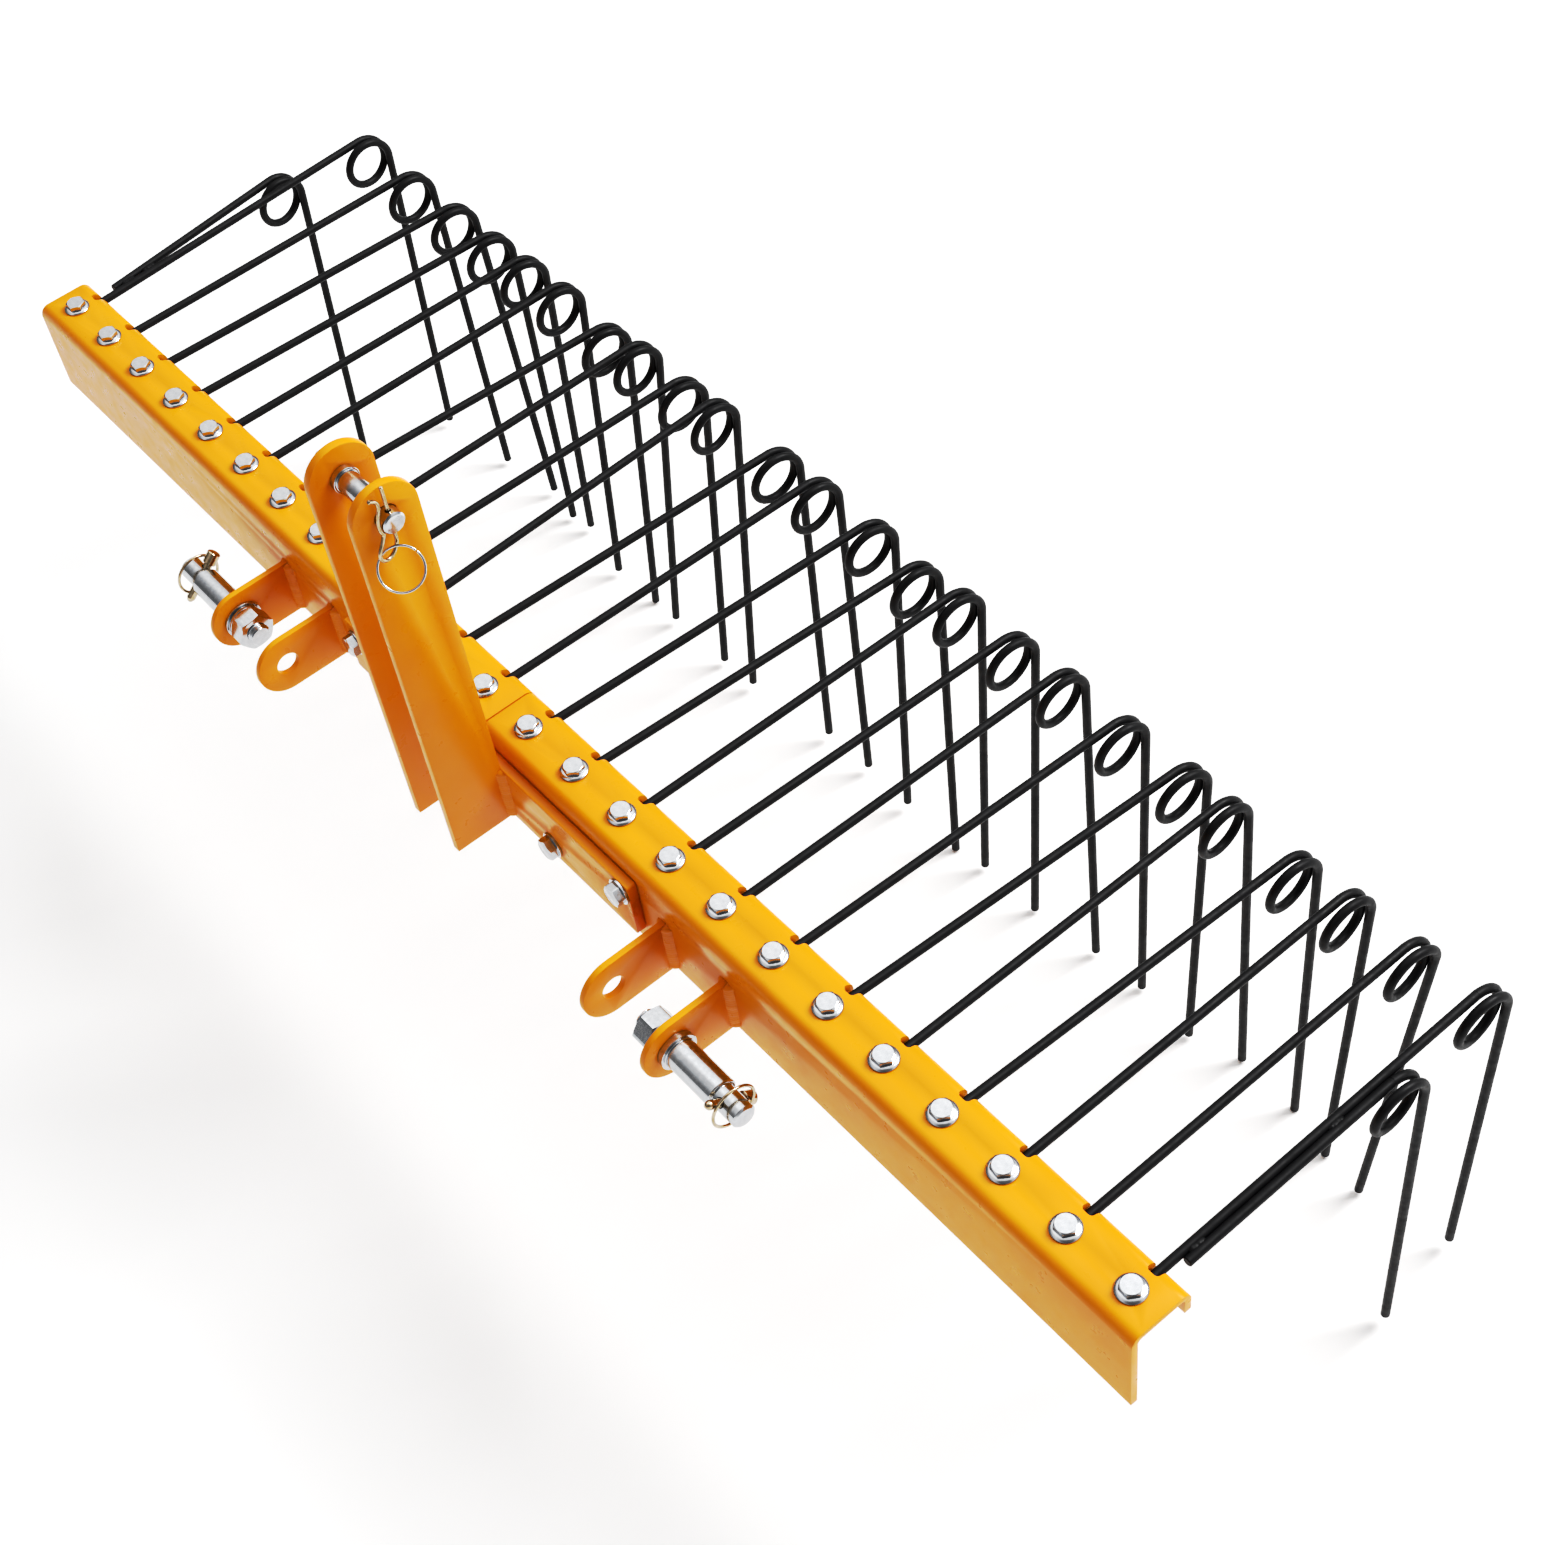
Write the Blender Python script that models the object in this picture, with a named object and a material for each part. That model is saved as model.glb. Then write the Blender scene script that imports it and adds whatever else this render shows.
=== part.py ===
"""Pine-straw rake for a three-point hitch: a 60 in beam of formed sheet with coil-spring tines.

Metres, +Z up. X runs along the beam and -Y is the tractor's side. The tines trail towards +Y
and stand on the ground at Z = 0. The origin is on the ground, under the middle of the rake.

Everything is first placed from the beam's datum, which is the middle of the web's front face at
the height of the flange's top. The last step moves that datum so that the origin comes right.
"""

from math import cos, pi, radians, sin

import bmesh
import bpy
from mathutils import Matrix, Vector

# Beam: two formed halves that meet at the middle
BEAM_LENGTH = 1.524
FLANGE_DEPTH = 0.057
WEB_HEIGHT = 0.097
LIP_HEIGHT = 0.025
SHEET = 0.006
BEND_RADIUS = 0.010
SEAM_GAP = 0.0006
FIT_GAP = 0.0003

# Tines and the bolts that hold them
TINE_COUNT = 24
TINE_PITCH = 0.0638
BOLT_LINE = 0.028
WIRE_RADIUS = 0.004
ARM_LENGTH = 0.354
ARM_SIDE = -0.0005
ARM_STRAIGHT = 0.022
EYE_RADIUS = 0.0086
COIL_RADIUS = 0.0243
COIL_ADVANCE = 0.0118
COIL_END_DEG = 405
LEG_START_DEG = 82
LEG_LENGTH = 0.3687
LEG_LEAN_DEG = -1.5
NOTCH_WIDTH = 0.0110
NOTCH_DEPTH = 0.0100
NOTCH_SIDE = 0.0003
NOTCH_CLEARANCE = 0.0004
NOTCH_BOTTOM = 0.017
TINE_BOLT_RADIUS = 0.005

# How far each tine was turned about its bolt, and each leg set over sideways and lengthways
TINE_YAW_DEG = (
    (-3.5, -1.0, 1.5, 1.5, 0.5, 0.0, 1.5, -0.5, 0.5, -2.0, 2.5, 1.0)
    + (3.0, 2.0, 0.5, 1.0, 0.5, 1.5, 2.5, -0.5, 1.0, -0.5, -0.5, 0.0)
)
LEG_SPLAY_DEG = (
    (0.5, 4.0, 4.0, 1.5, -3.0, -0.5, -2.5, -4.0, -2.0, -2.0, 0.5, 1.5)
    + (-0.5, 1.5, -1.0, -0.5, 2.0, 0.0, -0.5, 0.5, -0.5, -1.0, -4.0, -1.0)
)
LEG_SET_DEG = (
    (-1.0, 0.5, 2.0, 0.5, 1.0, -2.0, -1.5, -2.0, -2.0, -2.0, 0.0, 0.0)
    + (-0.5, -0.5, 0.0, 0.0, 1.0, 1.5, 0.5, 3.0, 2.5, 0.0, -1.0, 1.5)
)

# How far each arm's end sags below its eye, in millimetres
ARM_DROP_MM = (
    (-1, 4, 2, 3, 1, 0, 8, 0, 1, -2, -2, -1)
    + (-2, 9, 3, 6, 4, 6, 5, 9, 11, 8, 7, -2)
)

# Short outer tines: (side offset of the arm's start, its yaw, leg splay, leg set)
SHORT_START = 0.046
SHORT_REACH = 0.209
SHORT_RIGHT = (0.0081, -0.1, -0.5, 2.5)
SHORT_LEFT = (-0.0083, -3.9, -1.5, -1.0)

# Mast and splice plate
PLATE_HALF_LENGTH = 0.206
PLATE_THICKNESS = 0.009
PLATE_TOP = -0.016
PLATE_BOTTOM = -0.077
MAST_OFFSET = 0.005
MAST_GAP = 0.050
CHEEK_THICKNESS = 0.008
CHEEK_WIDTH = 0.058
TOP_PIN_HEIGHT = 0.303
SPLICE_BOLTS = ((0.100, -0.061), (0.199, -0.029), (-0.090, -0.061), (-0.186, -0.035))
SPLICE_BOLT_RADIUS = 0.006

# Lower-link lugs and their pins
LUG_THICKNESS = 0.006
LUG_RADIUS = 0.030
LUG_PIN_Y = -0.0584
LUG_PIN_Z = -0.067
INNER_LUG_X = 0.239
OUTER_LUG_X = 0.317
LUG_HOLE_RADIUS = 0.011
WELD_SIZE = 0.005

# Pins and clips
TOP_PIN_RADIUS = 0.0095
TOP_PIN_END = 0.050
CLIP_X = 0.0435
CLIP_TURN_DEG = 14.0
CLIP_WIRE_RADIUS = 0.0016
RING_RADIUS = 0.0175
RING_WIRE_RADIUS = 0.0010
RING_CENTRE = (0.0572, -0.0471, 0.2678)
RING_NORMAL = (0.67, -0.36, 0.65)
RING_PIVOT = (0.0475, -0.0540, 0.2745)
HITCH_PIN_RADIUS = 0.014
HITCH_END_RADIUS = 0.011
HITCH_STEP_X = 0.382
HITCH_END_X = 0.410
LINCH_X = 0.390
LINCH_RADIUS = 0.004
LINCH_RING_RADIUS = 0.020
LINCH_TILT_DEG = {"right": -39.0, "left": 42.0}

FINISHES = {
    "orange_paint": ((0.87, 0.36, 0.02, 1.0), 0.0, 0.35),
    "black_spring_steel": ((0.018, 0.018, 0.020, 1.0), 0.3, 0.45),
    "bright_zinc": ((0.72, 0.73, 0.75, 1.0), 1.0, 0.30),
    "yellow_zinc": ((0.62, 0.48, 0.30, 1.0), 1.0, 0.35),
}


def clear_scene():
    for item in list(bpy.data.objects):
        bpy.data.objects.remove(item)


def finish(name):
    """The Principled material of this name, made once."""
    if name in bpy.data.materials:
        return bpy.data.materials[name]
    colour, metallic, roughness = FINISHES[name]
    material = bpy.data.materials.new(name)
    material.use_nodes = True
    shader = material.node_tree.nodes["Principled BSDF"]
    shader.inputs["Base Color"].default_value = colour
    shader.inputs["Metallic"].default_value = metallic
    shader.inputs["Roughness"].default_value = roughness
    material.diffuse_color = colour
    return material


# Solids


def solid(vertices, faces):
    """A closed body with its faces turned outwards."""
    mesh = bpy.data.meshes.new("solid")
    mesh.from_pydata([tuple(v) for v in vertices], [], faces)
    turned_out = bmesh.new()
    turned_out.from_mesh(mesh)
    bmesh.ops.recalc_face_normals(turned_out, faces=turned_out.faces)
    turned_out.to_mesh(mesh)
    turned_out.free()
    body = bpy.data.objects.new("solid", mesh)
    bpy.context.scene.collection.objects.link(body)
    return body


def combine(base, others, operation):
    """Joins the other bodies to the base, or cuts them from it, and removes them."""
    for other in others:
        step = base.modifiers.new("step", "BOOLEAN")
        step.solver = "EXACT"
        step.operation = operation
        step.object = other
    bpy.context.view_layer.update()
    graph = bpy.context.evaluated_depsgraph_get()
    result = bpy.data.meshes.new_from_object(base.evaluated_get(graph))
    base.modifiers.clear()
    base.data = result
    for other in others:
        bpy.data.objects.remove(other)
    return base


def skin(rings):
    """A body through rings of equal size, with a flat cap at each end."""
    sides = len(rings[0])
    faces = [tuple(range(sides))]
    for ring in range(len(rings) - 1):
        for side in range(sides):
            after = (side + 1) % sides
            low, high = ring * sides, (ring + 1) * sides
            faces.append((low + side, low + after, high + after, high + side))
    last = (len(rings) - 1) * sides
    faces.append(tuple(range(last, last + sides)))
    return solid([v for ring in rings for v in ring], faces)


def plate(outline, axis, low, high):
    """The outline, drawn in the two other axes' order, as thick as from low to high."""
    place = {
        "X": lambda u, v, w: (w, u, v),
        "Y": lambda u, v, w: (u, w, v),
        "Z": lambda u, v, w: (u, v, w),
    }[axis]
    return skin([[place(u, v, w) for u, v in outline] for w in (low, high)])


def box(low, high):
    corners = [(low[0], low[1]), (high[0], low[1]), (high[0], high[1]), (low[0], high[1])]
    return plate(corners, "Z", low[2], high[2])


def frame_across(direction):
    """Two unit vectors square to the direction and to each other."""
    guide = Vector((0, 0, 1)) if abs(direction.z) < 0.9 else Vector((0, 1, 0))
    side = direction.cross(guide).normalized()
    return side, side.cross(direction).normalized()


def circle(centre, side, up, radius, sides, phase=0.5):
    turns = [2 * pi * (k + phase) / sides for k in range(sides)]
    return [centre + radius * (cos(a) * side + sin(a) * up) for a in turns]


def turned(start, direction, profile, sides=16):
    """A lathe-turned body. Profile holds (distance along the axis, radius)."""
    start = Vector(start)
    direction = Vector(direction).normalized()
    side, up = frame_across(direction)
    return skin([circle(start + d * direction, side, up, r, sides) for d, r in profile])


def wire(points, radius, sides=6):
    """Round wire along the points, bent without twisting."""
    points = [Vector(p) for p in points]
    steps = [(b - a).normalized() for a, b in zip(points, points[1:])]
    ways = [steps[0]]
    ways += [(a + b).normalized() for a, b in zip(steps, steps[1:])]
    ways.append(steps[-1])
    side, up = frame_across(ways[0])
    rings = []
    for point, way in zip(points, ways):
        side = (side - side.dot(way) * way).normalized()
        up = side.cross(way)
        rings.append(circle(point, side, up, radius, sides, phase=0.0))
    return skin(rings)


def loop_wire(centre, normal, radius, wire_radius, around=28, sides=6):
    """A closed ring of wire."""
    centre = Vector(centre)
    normal = Vector(normal).normalized()
    across, up = frame_across(normal)
    vertices = []
    for k in range(around):
        turn = 2 * pi * k / around
        out = cos(turn) * across + sin(turn) * up
        vertices += circle(centre + radius * out, out, normal, wire_radius, sides)
    faces = []
    for k in range(around):
        low, high = k * sides, (k + 1) % around * sides
        for side in range(sides):
            after = (side + 1) % sides
            faces.append((low + side, low + after, high + after, high + side))
    return solid(vertices, faces)


def node(name, body, finish_name, parent, matrix=None):
    """Gives a body its name, finish and place under its parent."""
    body.name = name
    body.data.name = name
    body.data.materials.clear()
    body.data.materials.append(finish(finish_name))
    body.parent = parent
    if matrix is not None:
        body.matrix_local = matrix
    return body


def recentre(body, pivot):
    """Moves the body's origin onto its joint's axis."""
    body.data.transform(Matrix.Translation(-Vector(pivot)))
    return Matrix.Translation(Vector(pivot))


# Beam


def arc(centre, radius, from_deg, to_deg, steps):
    turns = [radians(from_deg + (to_deg - from_deg) * k / steps) for k in range(steps + 1)]
    return [(centre[0] + radius * cos(a), centre[1] + radius * sin(a)) for a in turns]


def beam_section():
    """Web, top flange and rear lip as one formed sheet, seen along X."""
    inside = BEND_RADIUS - SHEET
    front = (BEND_RADIUS, -BEND_RADIUS)
    rear = (FLANGE_DEPTH - BEND_RADIUS, -BEND_RADIUS)
    outline = [(0.0, -WEB_HEIGHT)]
    outline += arc(front, BEND_RADIUS, 180, 90, 3)
    outline += arc(rear, BEND_RADIUS, 90, 0, 3)
    outline += [(FLANGE_DEPTH, -LIP_HEIGHT), (FLANGE_DEPTH - SHEET, -LIP_HEIGHT)]
    outline += arc(rear, inside, 0, 90, 2)
    outline += arc(front, inside, 90, 180, 2)
    outline.append((SHEET, -WEB_HEIGHT))
    return outline


def bolt_x(number):
    """Where tine 1 to 24 is bolted, counted from the left end."""
    return (number - (TINE_COUNT + 1) / 2) * TINE_PITCH


def notch_x(number):
    """The middle of a tine's notch, filed over where a turned arm would rub its side."""
    reach = FLANGE_DEPTH - BOLT_LINE
    arm = ARM_SIDE + sin(radians(TINE_YAW_DEG[number - 1])) * reach
    play = NOTCH_WIDTH / 2 - WIRE_RADIUS - NOTCH_CLEARANCE
    return bolt_x(number) + max(arm - play, min(arm + play, NOTCH_SIDE))


def notch(x):
    """Lets one tine's arm out through the rear bend."""
    half = NOTCH_WIDTH / 2
    front = FLANGE_DEPTH - NOTCH_DEPTH
    return box((x - half, front, -NOTCH_BOTTOM), (x + half, FLANGE_DEPTH + 0.005, 0.005))


def lug(x):
    """A flat plate from the web to its round end."""
    root = 0.0005
    outline = [(root, LUG_PIN_Z + LUG_RADIUS)]
    outline += arc((LUG_PIN_Y, LUG_PIN_Z), LUG_RADIUS, 90, 270, 8)
    outline.append((root, LUG_PIN_Z - LUG_RADIUS))
    return plate(outline, "X", x, x + LUG_THICKNESS)


def lug_welds(x):
    """A bead down each side of a lug's root."""
    low = LUG_PIN_Z - LUG_RADIUS + 0.001
    high = LUG_PIN_Z + LUG_RADIUS - 0.001
    inside = 0.0004
    left = [(x + inside, inside), (x + inside, -WELD_SIZE), (x - WELD_SIZE, inside)]
    far = x + LUG_THICKNESS
    right = [(far - inside, inside), (far + WELD_SIZE, inside), (far - inside, -WELD_SIZE)]
    return [plate(left, "Z", low, high), plate(right, "Z", low, high)]


def beam_half(side):
    """One half with its two lugs. Side is 1 for the right half and -1 for the left."""
    ends = sorted((side * SEAM_GAP / 2, side * BEAM_LENGTH / 2))
    beam = plate(beam_section(), "X", *ends)
    lug_starts = [side * x - (LUG_THICKNESS if side < 0 else 0) for x in (INNER_LUG_X, OUTER_LUG_X)]
    welded = [lug(x) for x in lug_starts]
    for x in lug_starts:
        welded += lug_welds(x)
    combine(beam, welded, "UNION")
    cuts = []
    for number in range(1, TINE_COUNT + 1):
        x = bolt_x(number)
        if x * side > 0:
            cuts.append(notch(notch_x(number)))
            profile = [(-0.002, TINE_BOLT_RADIUS + 0.0006), (0.010, TINE_BOLT_RADIUS + 0.0006)]
            cuts.append(turned((x, BOLT_LINE, 0), (0, 0, -1), profile, 8))
    for x, z in SPLICE_BOLTS:
        if x * side > 0:
            profile = [(-0.002, SPLICE_BOLT_RADIUS + 0.0006), (0.010, SPLICE_BOLT_RADIUS + 0.0006)]
            cuts.append(turned((x, 0, z), (0, 1, 0), profile, 10))
    for x in lug_starts:
        profile = [(-0.002, LUG_HOLE_RADIUS), (LUG_THICKNESS + 0.002, LUG_HOLE_RADIUS)]
        cuts.append(turned((x, LUG_PIN_Y, LUG_PIN_Z), (1, 0, 0), profile, 20))
    return combine(beam, cuts, "DIFFERENCE")


# Mast


def cheek(x):
    """One of the mast's two flat bars, with a round top and the pin's hole."""
    root = -(PLATE_THICKNESS + FIT_GAP) + 0.0003
    middle = cheek_middle()
    outline = [(root, PLATE_BOTTOM)]
    outline += arc((middle, TOP_PIN_HEIGHT), CHEEK_WIDTH / 2, 0, 180, 12)
    outline.append((root - CHEEK_WIDTH, PLATE_BOTTOM))
    return plate(outline, "X", x, x + CHEEK_THICKNESS)


def cheek_middle():
    return -(PLATE_THICKNESS + FIT_GAP) + 0.0003 - CHEEK_WIDTH / 2


def cheek_welds(x):
    low, high = PLATE_BOTTOM + 0.001, PLATE_TOP - 0.001
    face = -(PLATE_THICKNESS + FIT_GAP)
    inside = 0.0004
    left = [(x + inside, face + inside), (x + inside, face - WELD_SIZE)]
    left.append((x - WELD_SIZE, face + inside))
    far = x + CHEEK_THICKNESS
    right = [(far - inside, face + inside), (far + WELD_SIZE, face + inside)]
    right.append((far - inside, face - WELD_SIZE))
    return [plate(left, "Z", low, high), plate(right, "Z", low, high)]


def splice_bolt(x, z):
    """Head and washer on the plate, shank through the web, and nut behind it."""
    face = -(PLATE_THICKNESS + FIT_GAP)
    washer = turned((x, face + 0.0002, z), (0, -1, 0), [(0, 0.012), (0.0024, 0.012)], 14)
    head = turned((x, face - 0.002, z), (0, -1, 0), [(0, 0.0104), (0.0075, 0.0104)], 6)
    shank = turned((x, face, z), (0, 1, 0), [(0, SPLICE_BOLT_RADIUS), (0.030, SPLICE_BOLT_RADIUS)], 10)
    nut = turned((x, SHEET + FIT_GAP, z), (0, 1, 0), [(0, 0.0104), (0.010, 0.0104)], 6)
    return [washer, head, shank, nut]


def mast_bracket():
    """Splice plate with both cheeks welded on and its bolts."""
    half = PLATE_HALF_LENGTH
    face = -(PLATE_THICKNESS + FIT_GAP)
    ends = MAST_OFFSET - half, MAST_OFFSET + half
    base = box((ends[0], face, PLATE_BOTTOM), (ends[1], -FIT_GAP, PLATE_TOP))
    starts = [MAST_OFFSET + MAST_GAP / 2, MAST_OFFSET - MAST_GAP / 2 - CHEEK_THICKNESS]
    joined = [cheek(x) for x in starts]
    for x in starts:
        joined += cheek_welds(x)
    for x, z in SPLICE_BOLTS:
        joined += splice_bolt(x, z)
    combine(base, joined, "UNION")
    holes = []
    for x, radius in zip(starts, (TOP_PIN_RADIUS + 0.0004, 0.0085)):
        profile = [(-0.002, radius), (CHEEK_THICKNESS + 0.002, radius)]
        holes.append(turned((x, cheek_middle(), TOP_PIN_HEIGHT), (1, 0, 0), profile, 20))
    return combine(base, holes, "DIFFERENCE")


def top_link_pin():
    """Shouldered pin, nutted to the left cheek, with a cross hole in its right end."""
    centre = (0, cheek_middle(), TOP_PIN_HEIGHT)
    left_in = MAST_OFFSET - MAST_GAP / 2 + FIT_GAP
    left_out = left_in - CHEEK_THICKNESS - 2 * FIT_GAP
    body = [(left_out - 0.019, 0.0065), (left_out - 0.017, 0.0080), (left_in, 0.0080)]
    body += [(left_in, 0.0115), (left_in + 0.006, 0.0115), (left_in + 0.006, TOP_PIN_RADIUS)]
    body += [(TOP_PIN_END - 0.0015, TOP_PIN_RADIUS), (TOP_PIN_END, TOP_PIN_RADIUS - 0.0015)]
    pin = turned(centre, (1, 0, 0), body, 20)
    nut_start = (left_out, centre[1], centre[2])
    nut = turned(nut_start, (-1, 0, 0), [(0, 0.0156), (0.013, 0.0156), (0.0145, 0.0135)], 6)
    combine(pin, [nut], "UNION")
    profile = [(-0.02, 0.0024), (0.02, 0.0024)]
    hole = turned((CLIP_X, centre[1], centre[2]), (0, 0, 1), profile, 12)
    return combine(pin, [hole], "DIFFERENCE")


def clip_path():
    """The hairpin clip from the pin's axis: straight leg, eye and bent leg."""
    flat = [(0.0, 0.033), (0.0, 0.0), (0.0, -0.019), (-0.0017, -0.0245), (-0.006, -0.029)]
    flat += [(-0.0115, -0.0305), (-0.0165, -0.0285), (-0.0188, -0.024), (-0.0178, -0.019)]
    flat += [(-0.0135, -0.013), (-0.0100, -0.007), (-0.0112, -0.004), (-0.0119, 0.0005)]
    flat += [(-0.0117, 0.006), (-0.0100, 0.012), (-0.0075, 0.018), (-0.0078, 0.023)]
    flat += [(-0.0105, 0.027), (-0.0145, 0.030)]
    turn = radians(CLIP_TURN_DEG)
    axis_y = cheek_middle()
    return [(CLIP_X - u * sin(turn), axis_y + u * cos(turn), TOP_PIN_HEIGHT + z) for u, z in flat]


# Lower-link pins


def hitch_pin(side):
    """Shouldered pin through the outer lug, with its washers and nut inside. Side is 1 or -1."""
    at = (0, LUG_PIN_Y, LUG_PIN_Z)
    out = (side, 0, 0)
    face_in = OUTER_LUG_X - FIT_GAP
    face_out = OUTER_LUG_X + LUG_THICKNESS + FIT_GAP
    shank = LUG_HOLE_RADIUS - 0.0004
    profile = [(face_in - 0.0315, shank - 0.0015), (face_in - 0.030, shank), (face_out, shank)]
    profile += [(face_out, 0.0175), (face_out + 0.006, 0.0175)]
    profile += [(face_out + 0.006, HITCH_PIN_RADIUS), (HITCH_STEP_X - 0.001, HITCH_PIN_RADIUS), (HITCH_STEP_X, HITCH_PIN_RADIUS - 0.001)]
    profile += [(HITCH_STEP_X, HITCH_END_RADIUS), (HITCH_END_X - 0.002, HITCH_END_RADIUS)]
    profile += [(HITCH_END_X, HITCH_END_RADIUS - 0.002)]
    pin = turned(at, out, profile, 20)
    inward = (-side, 0, 0)
    washers = [(0, 0.0185), (0.003, 0.0185), (0.003, 0.0165), (0.007, 0.0165)]
    washer = turned((side * face_in, at[1], at[2]), inward, washers, 20)
    start = side * (face_in - 0.0068)
    nut = turned((start, at[1], at[2]), inward, [(0, 0.0185), (0.017, 0.0185), (0.0185, 0.016)], 6)
    combine(pin, [washer, nut], "UNION")
    across = linch_direction("right" if side > 0 else "left")
    profile = [(-0.02, LINCH_RADIUS + 0.0006), (0.02, LINCH_RADIUS + 0.0006)]
    hole = turned((side * LINCH_X, at[1], at[2]), across, profile, 12)
    return combine(pin, [hole], "DIFFERENCE")


def linch_direction(side):
    """The way a linch pin points, from its tip at the front to its head at the rear."""
    tilt = radians(LINCH_TILT_DEG[side])
    return Vector((0, cos(tilt), sin(tilt)))


def linch_pin(side):
    """Short pin with a head and the ring that snaps round the hitch pin."""
    out = 1 if side == "right" else -1
    way = linch_direction(side)
    axis = Vector((out * LINCH_X, LUG_PIN_Y, LUG_PIN_Z))
    shank = [(-0.026, LINCH_RADIUS - 0.002), (-0.023, LINCH_RADIUS), (0.015, LINCH_RADIUS)]
    head = [(0.015, 0.0062), (0.026, 0.0062), (0.0275, 0.0048)]
    pin = turned(axis, way, shank + head, 10)
    ring_at = axis + Vector((out * 0.0058, 0, 0))
    ring = loop_wire(ring_at, (1, 0, 0), LINCH_RING_RADIUS, 0.0013, 24)
    return combine(pin, [ring], "UNION")


# Tines


def coil_point(turn_deg, side, reach, drop):
    """A point of the coil's centreline, counted from its top towards the rear."""
    turn = radians(turn_deg)
    x = side + COIL_ADVANCE * turn_deg / 450
    return (x, reach + COIL_RADIUS * sin(turn), drop - COIL_RADIUS + COIL_RADIUS * cos(turn))


def coil_points(side, reach, drop):
    steps = 15
    return [coil_point(COIL_END_DEG * k / steps, side, reach, drop) for k in range(1, steps + 1)]


def arm_height(drop, y):
    """Height of an arm's centreline against its eye's, this far behind the bolt."""
    return -drop * max(0.0, y - ARM_STRAIGHT) / (ARM_LENGTH - ARM_STRAIGHT)


def arm_wire(drop):
    """Eye under the flange, arm to the rear and coil, from the bolt's axis."""
    lead = [(EYE_RADIUS - 0.0010, 0.006, 0), (ARM_SIDE, ARM_STRAIGHT, 0)]
    straight = [(ARM_SIDE, ARM_LENGTH, -drop)]
    coil = coil_points(ARM_SIDE, ARM_LENGTH, -drop)
    return wire(eye_points() + lead + straight + coil, WIRE_RADIUS)


def eye_points():
    """The eye's centreline, from its free end round the bolt to its right side."""
    turns = [radians(120 + 40 * k) for k in range(7)]
    return [(EYE_RADIUS * cos(a), EYE_RADIUS * sin(a), 0) for a in turns]


def tine_bolt():
    """Flanged head on the beam, shank, and the nut that clamps the eye."""
    top = WIRE_RADIUS + FIT_GAP + SHEET + FIT_GAP
    flange = turned((0, 0, top), (0, 0, 1), [(0, 0.0123), (0.0022, 0.0118)], 10)
    head = turned((0, 0, top + 0.001), (0, 0, 1), [(0, 0.0096), (0.0065, 0.0092)], 6)
    shank = turned((0, 0, -0.0145), (0, 0, 1), [(0, TINE_BOLT_RADIUS), (0.027, TINE_BOLT_RADIUS)], 8)
    nut = turned((0, 0, -WIRE_RADIUS + 0.0007), (0, 0, -1), [(0, 0.0094), (0.0088, 0.0094)], 6)
    return [flange, head, shank, nut]


def short_arm(setting, drop):
    """A short outer tine's arm and coil, and the two welds to the long arm beside it."""
    side, yaw_deg = setting[0], setting[1]
    end = arm_height(drop, SHORT_START + SHORT_REACH)
    points = [(0, 0, arm_height(drop, SHORT_START)), (0, SHORT_REACH, end)]
    points += coil_points(0, SHORT_REACH, end)
    yaw = Matrix.Rotation(-radians(yaw_deg), 4, "Z")
    place = Matrix.Translation((ARM_SIDE + side, SHORT_START, 0)) @ yaw
    arm = wire([place @ Vector(p) for p in points], WIRE_RADIUS)
    welds = []
    weld_ys = (0.060, 0.200) if side > 0 else (0.062, 0.088)
    for y in weld_ys:
        between = ARM_SIDE + side / 2 + sin(radians(yaw_deg)) * (y - SHORT_START) / 2
        low = (between - 0.0036, y - 0.008, arm_height(drop, y) - 0.0030)
        high = (between + 0.0036, y + 0.008, arm_height(drop, y) + 0.0030)
        welds.append(box(low, high))
    return [arm] + welds, place


def leg_wire():
    """The end of the coil and the leg, from the coil's centre."""
    turns = [radians(LEG_START_DEG), pi / 2]
    points = [(0, COIL_RADIUS * sin(a), COIL_RADIUS * cos(a)) for a in turns]
    points.append((0, COIL_RADIUS, -LEG_LENGTH))
    return wire(points, WIRE_RADIUS)


def leg_place(arm_place, side, reach, drop, splay_deg, set_deg):
    """Where a leg hangs: its origin is on the coil's axis, which is its hinge."""
    centre = Vector((side + COIL_ADVANCE, reach, drop - COIL_RADIUS))
    splay = Matrix.Rotation(-radians(splay_deg), 4, "Y")
    lean = Matrix.Rotation(radians(LEG_LEAN_DEG + set_deg), 4, "X")
    return arm_place @ Matrix.Translation(centre) @ splay @ lean


def copy_of(mesh):
    """Another object that shows the same mesh."""
    copied = mesh.copy()
    bpy.context.scene.collection.objects.link(copied)
    return copied


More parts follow.
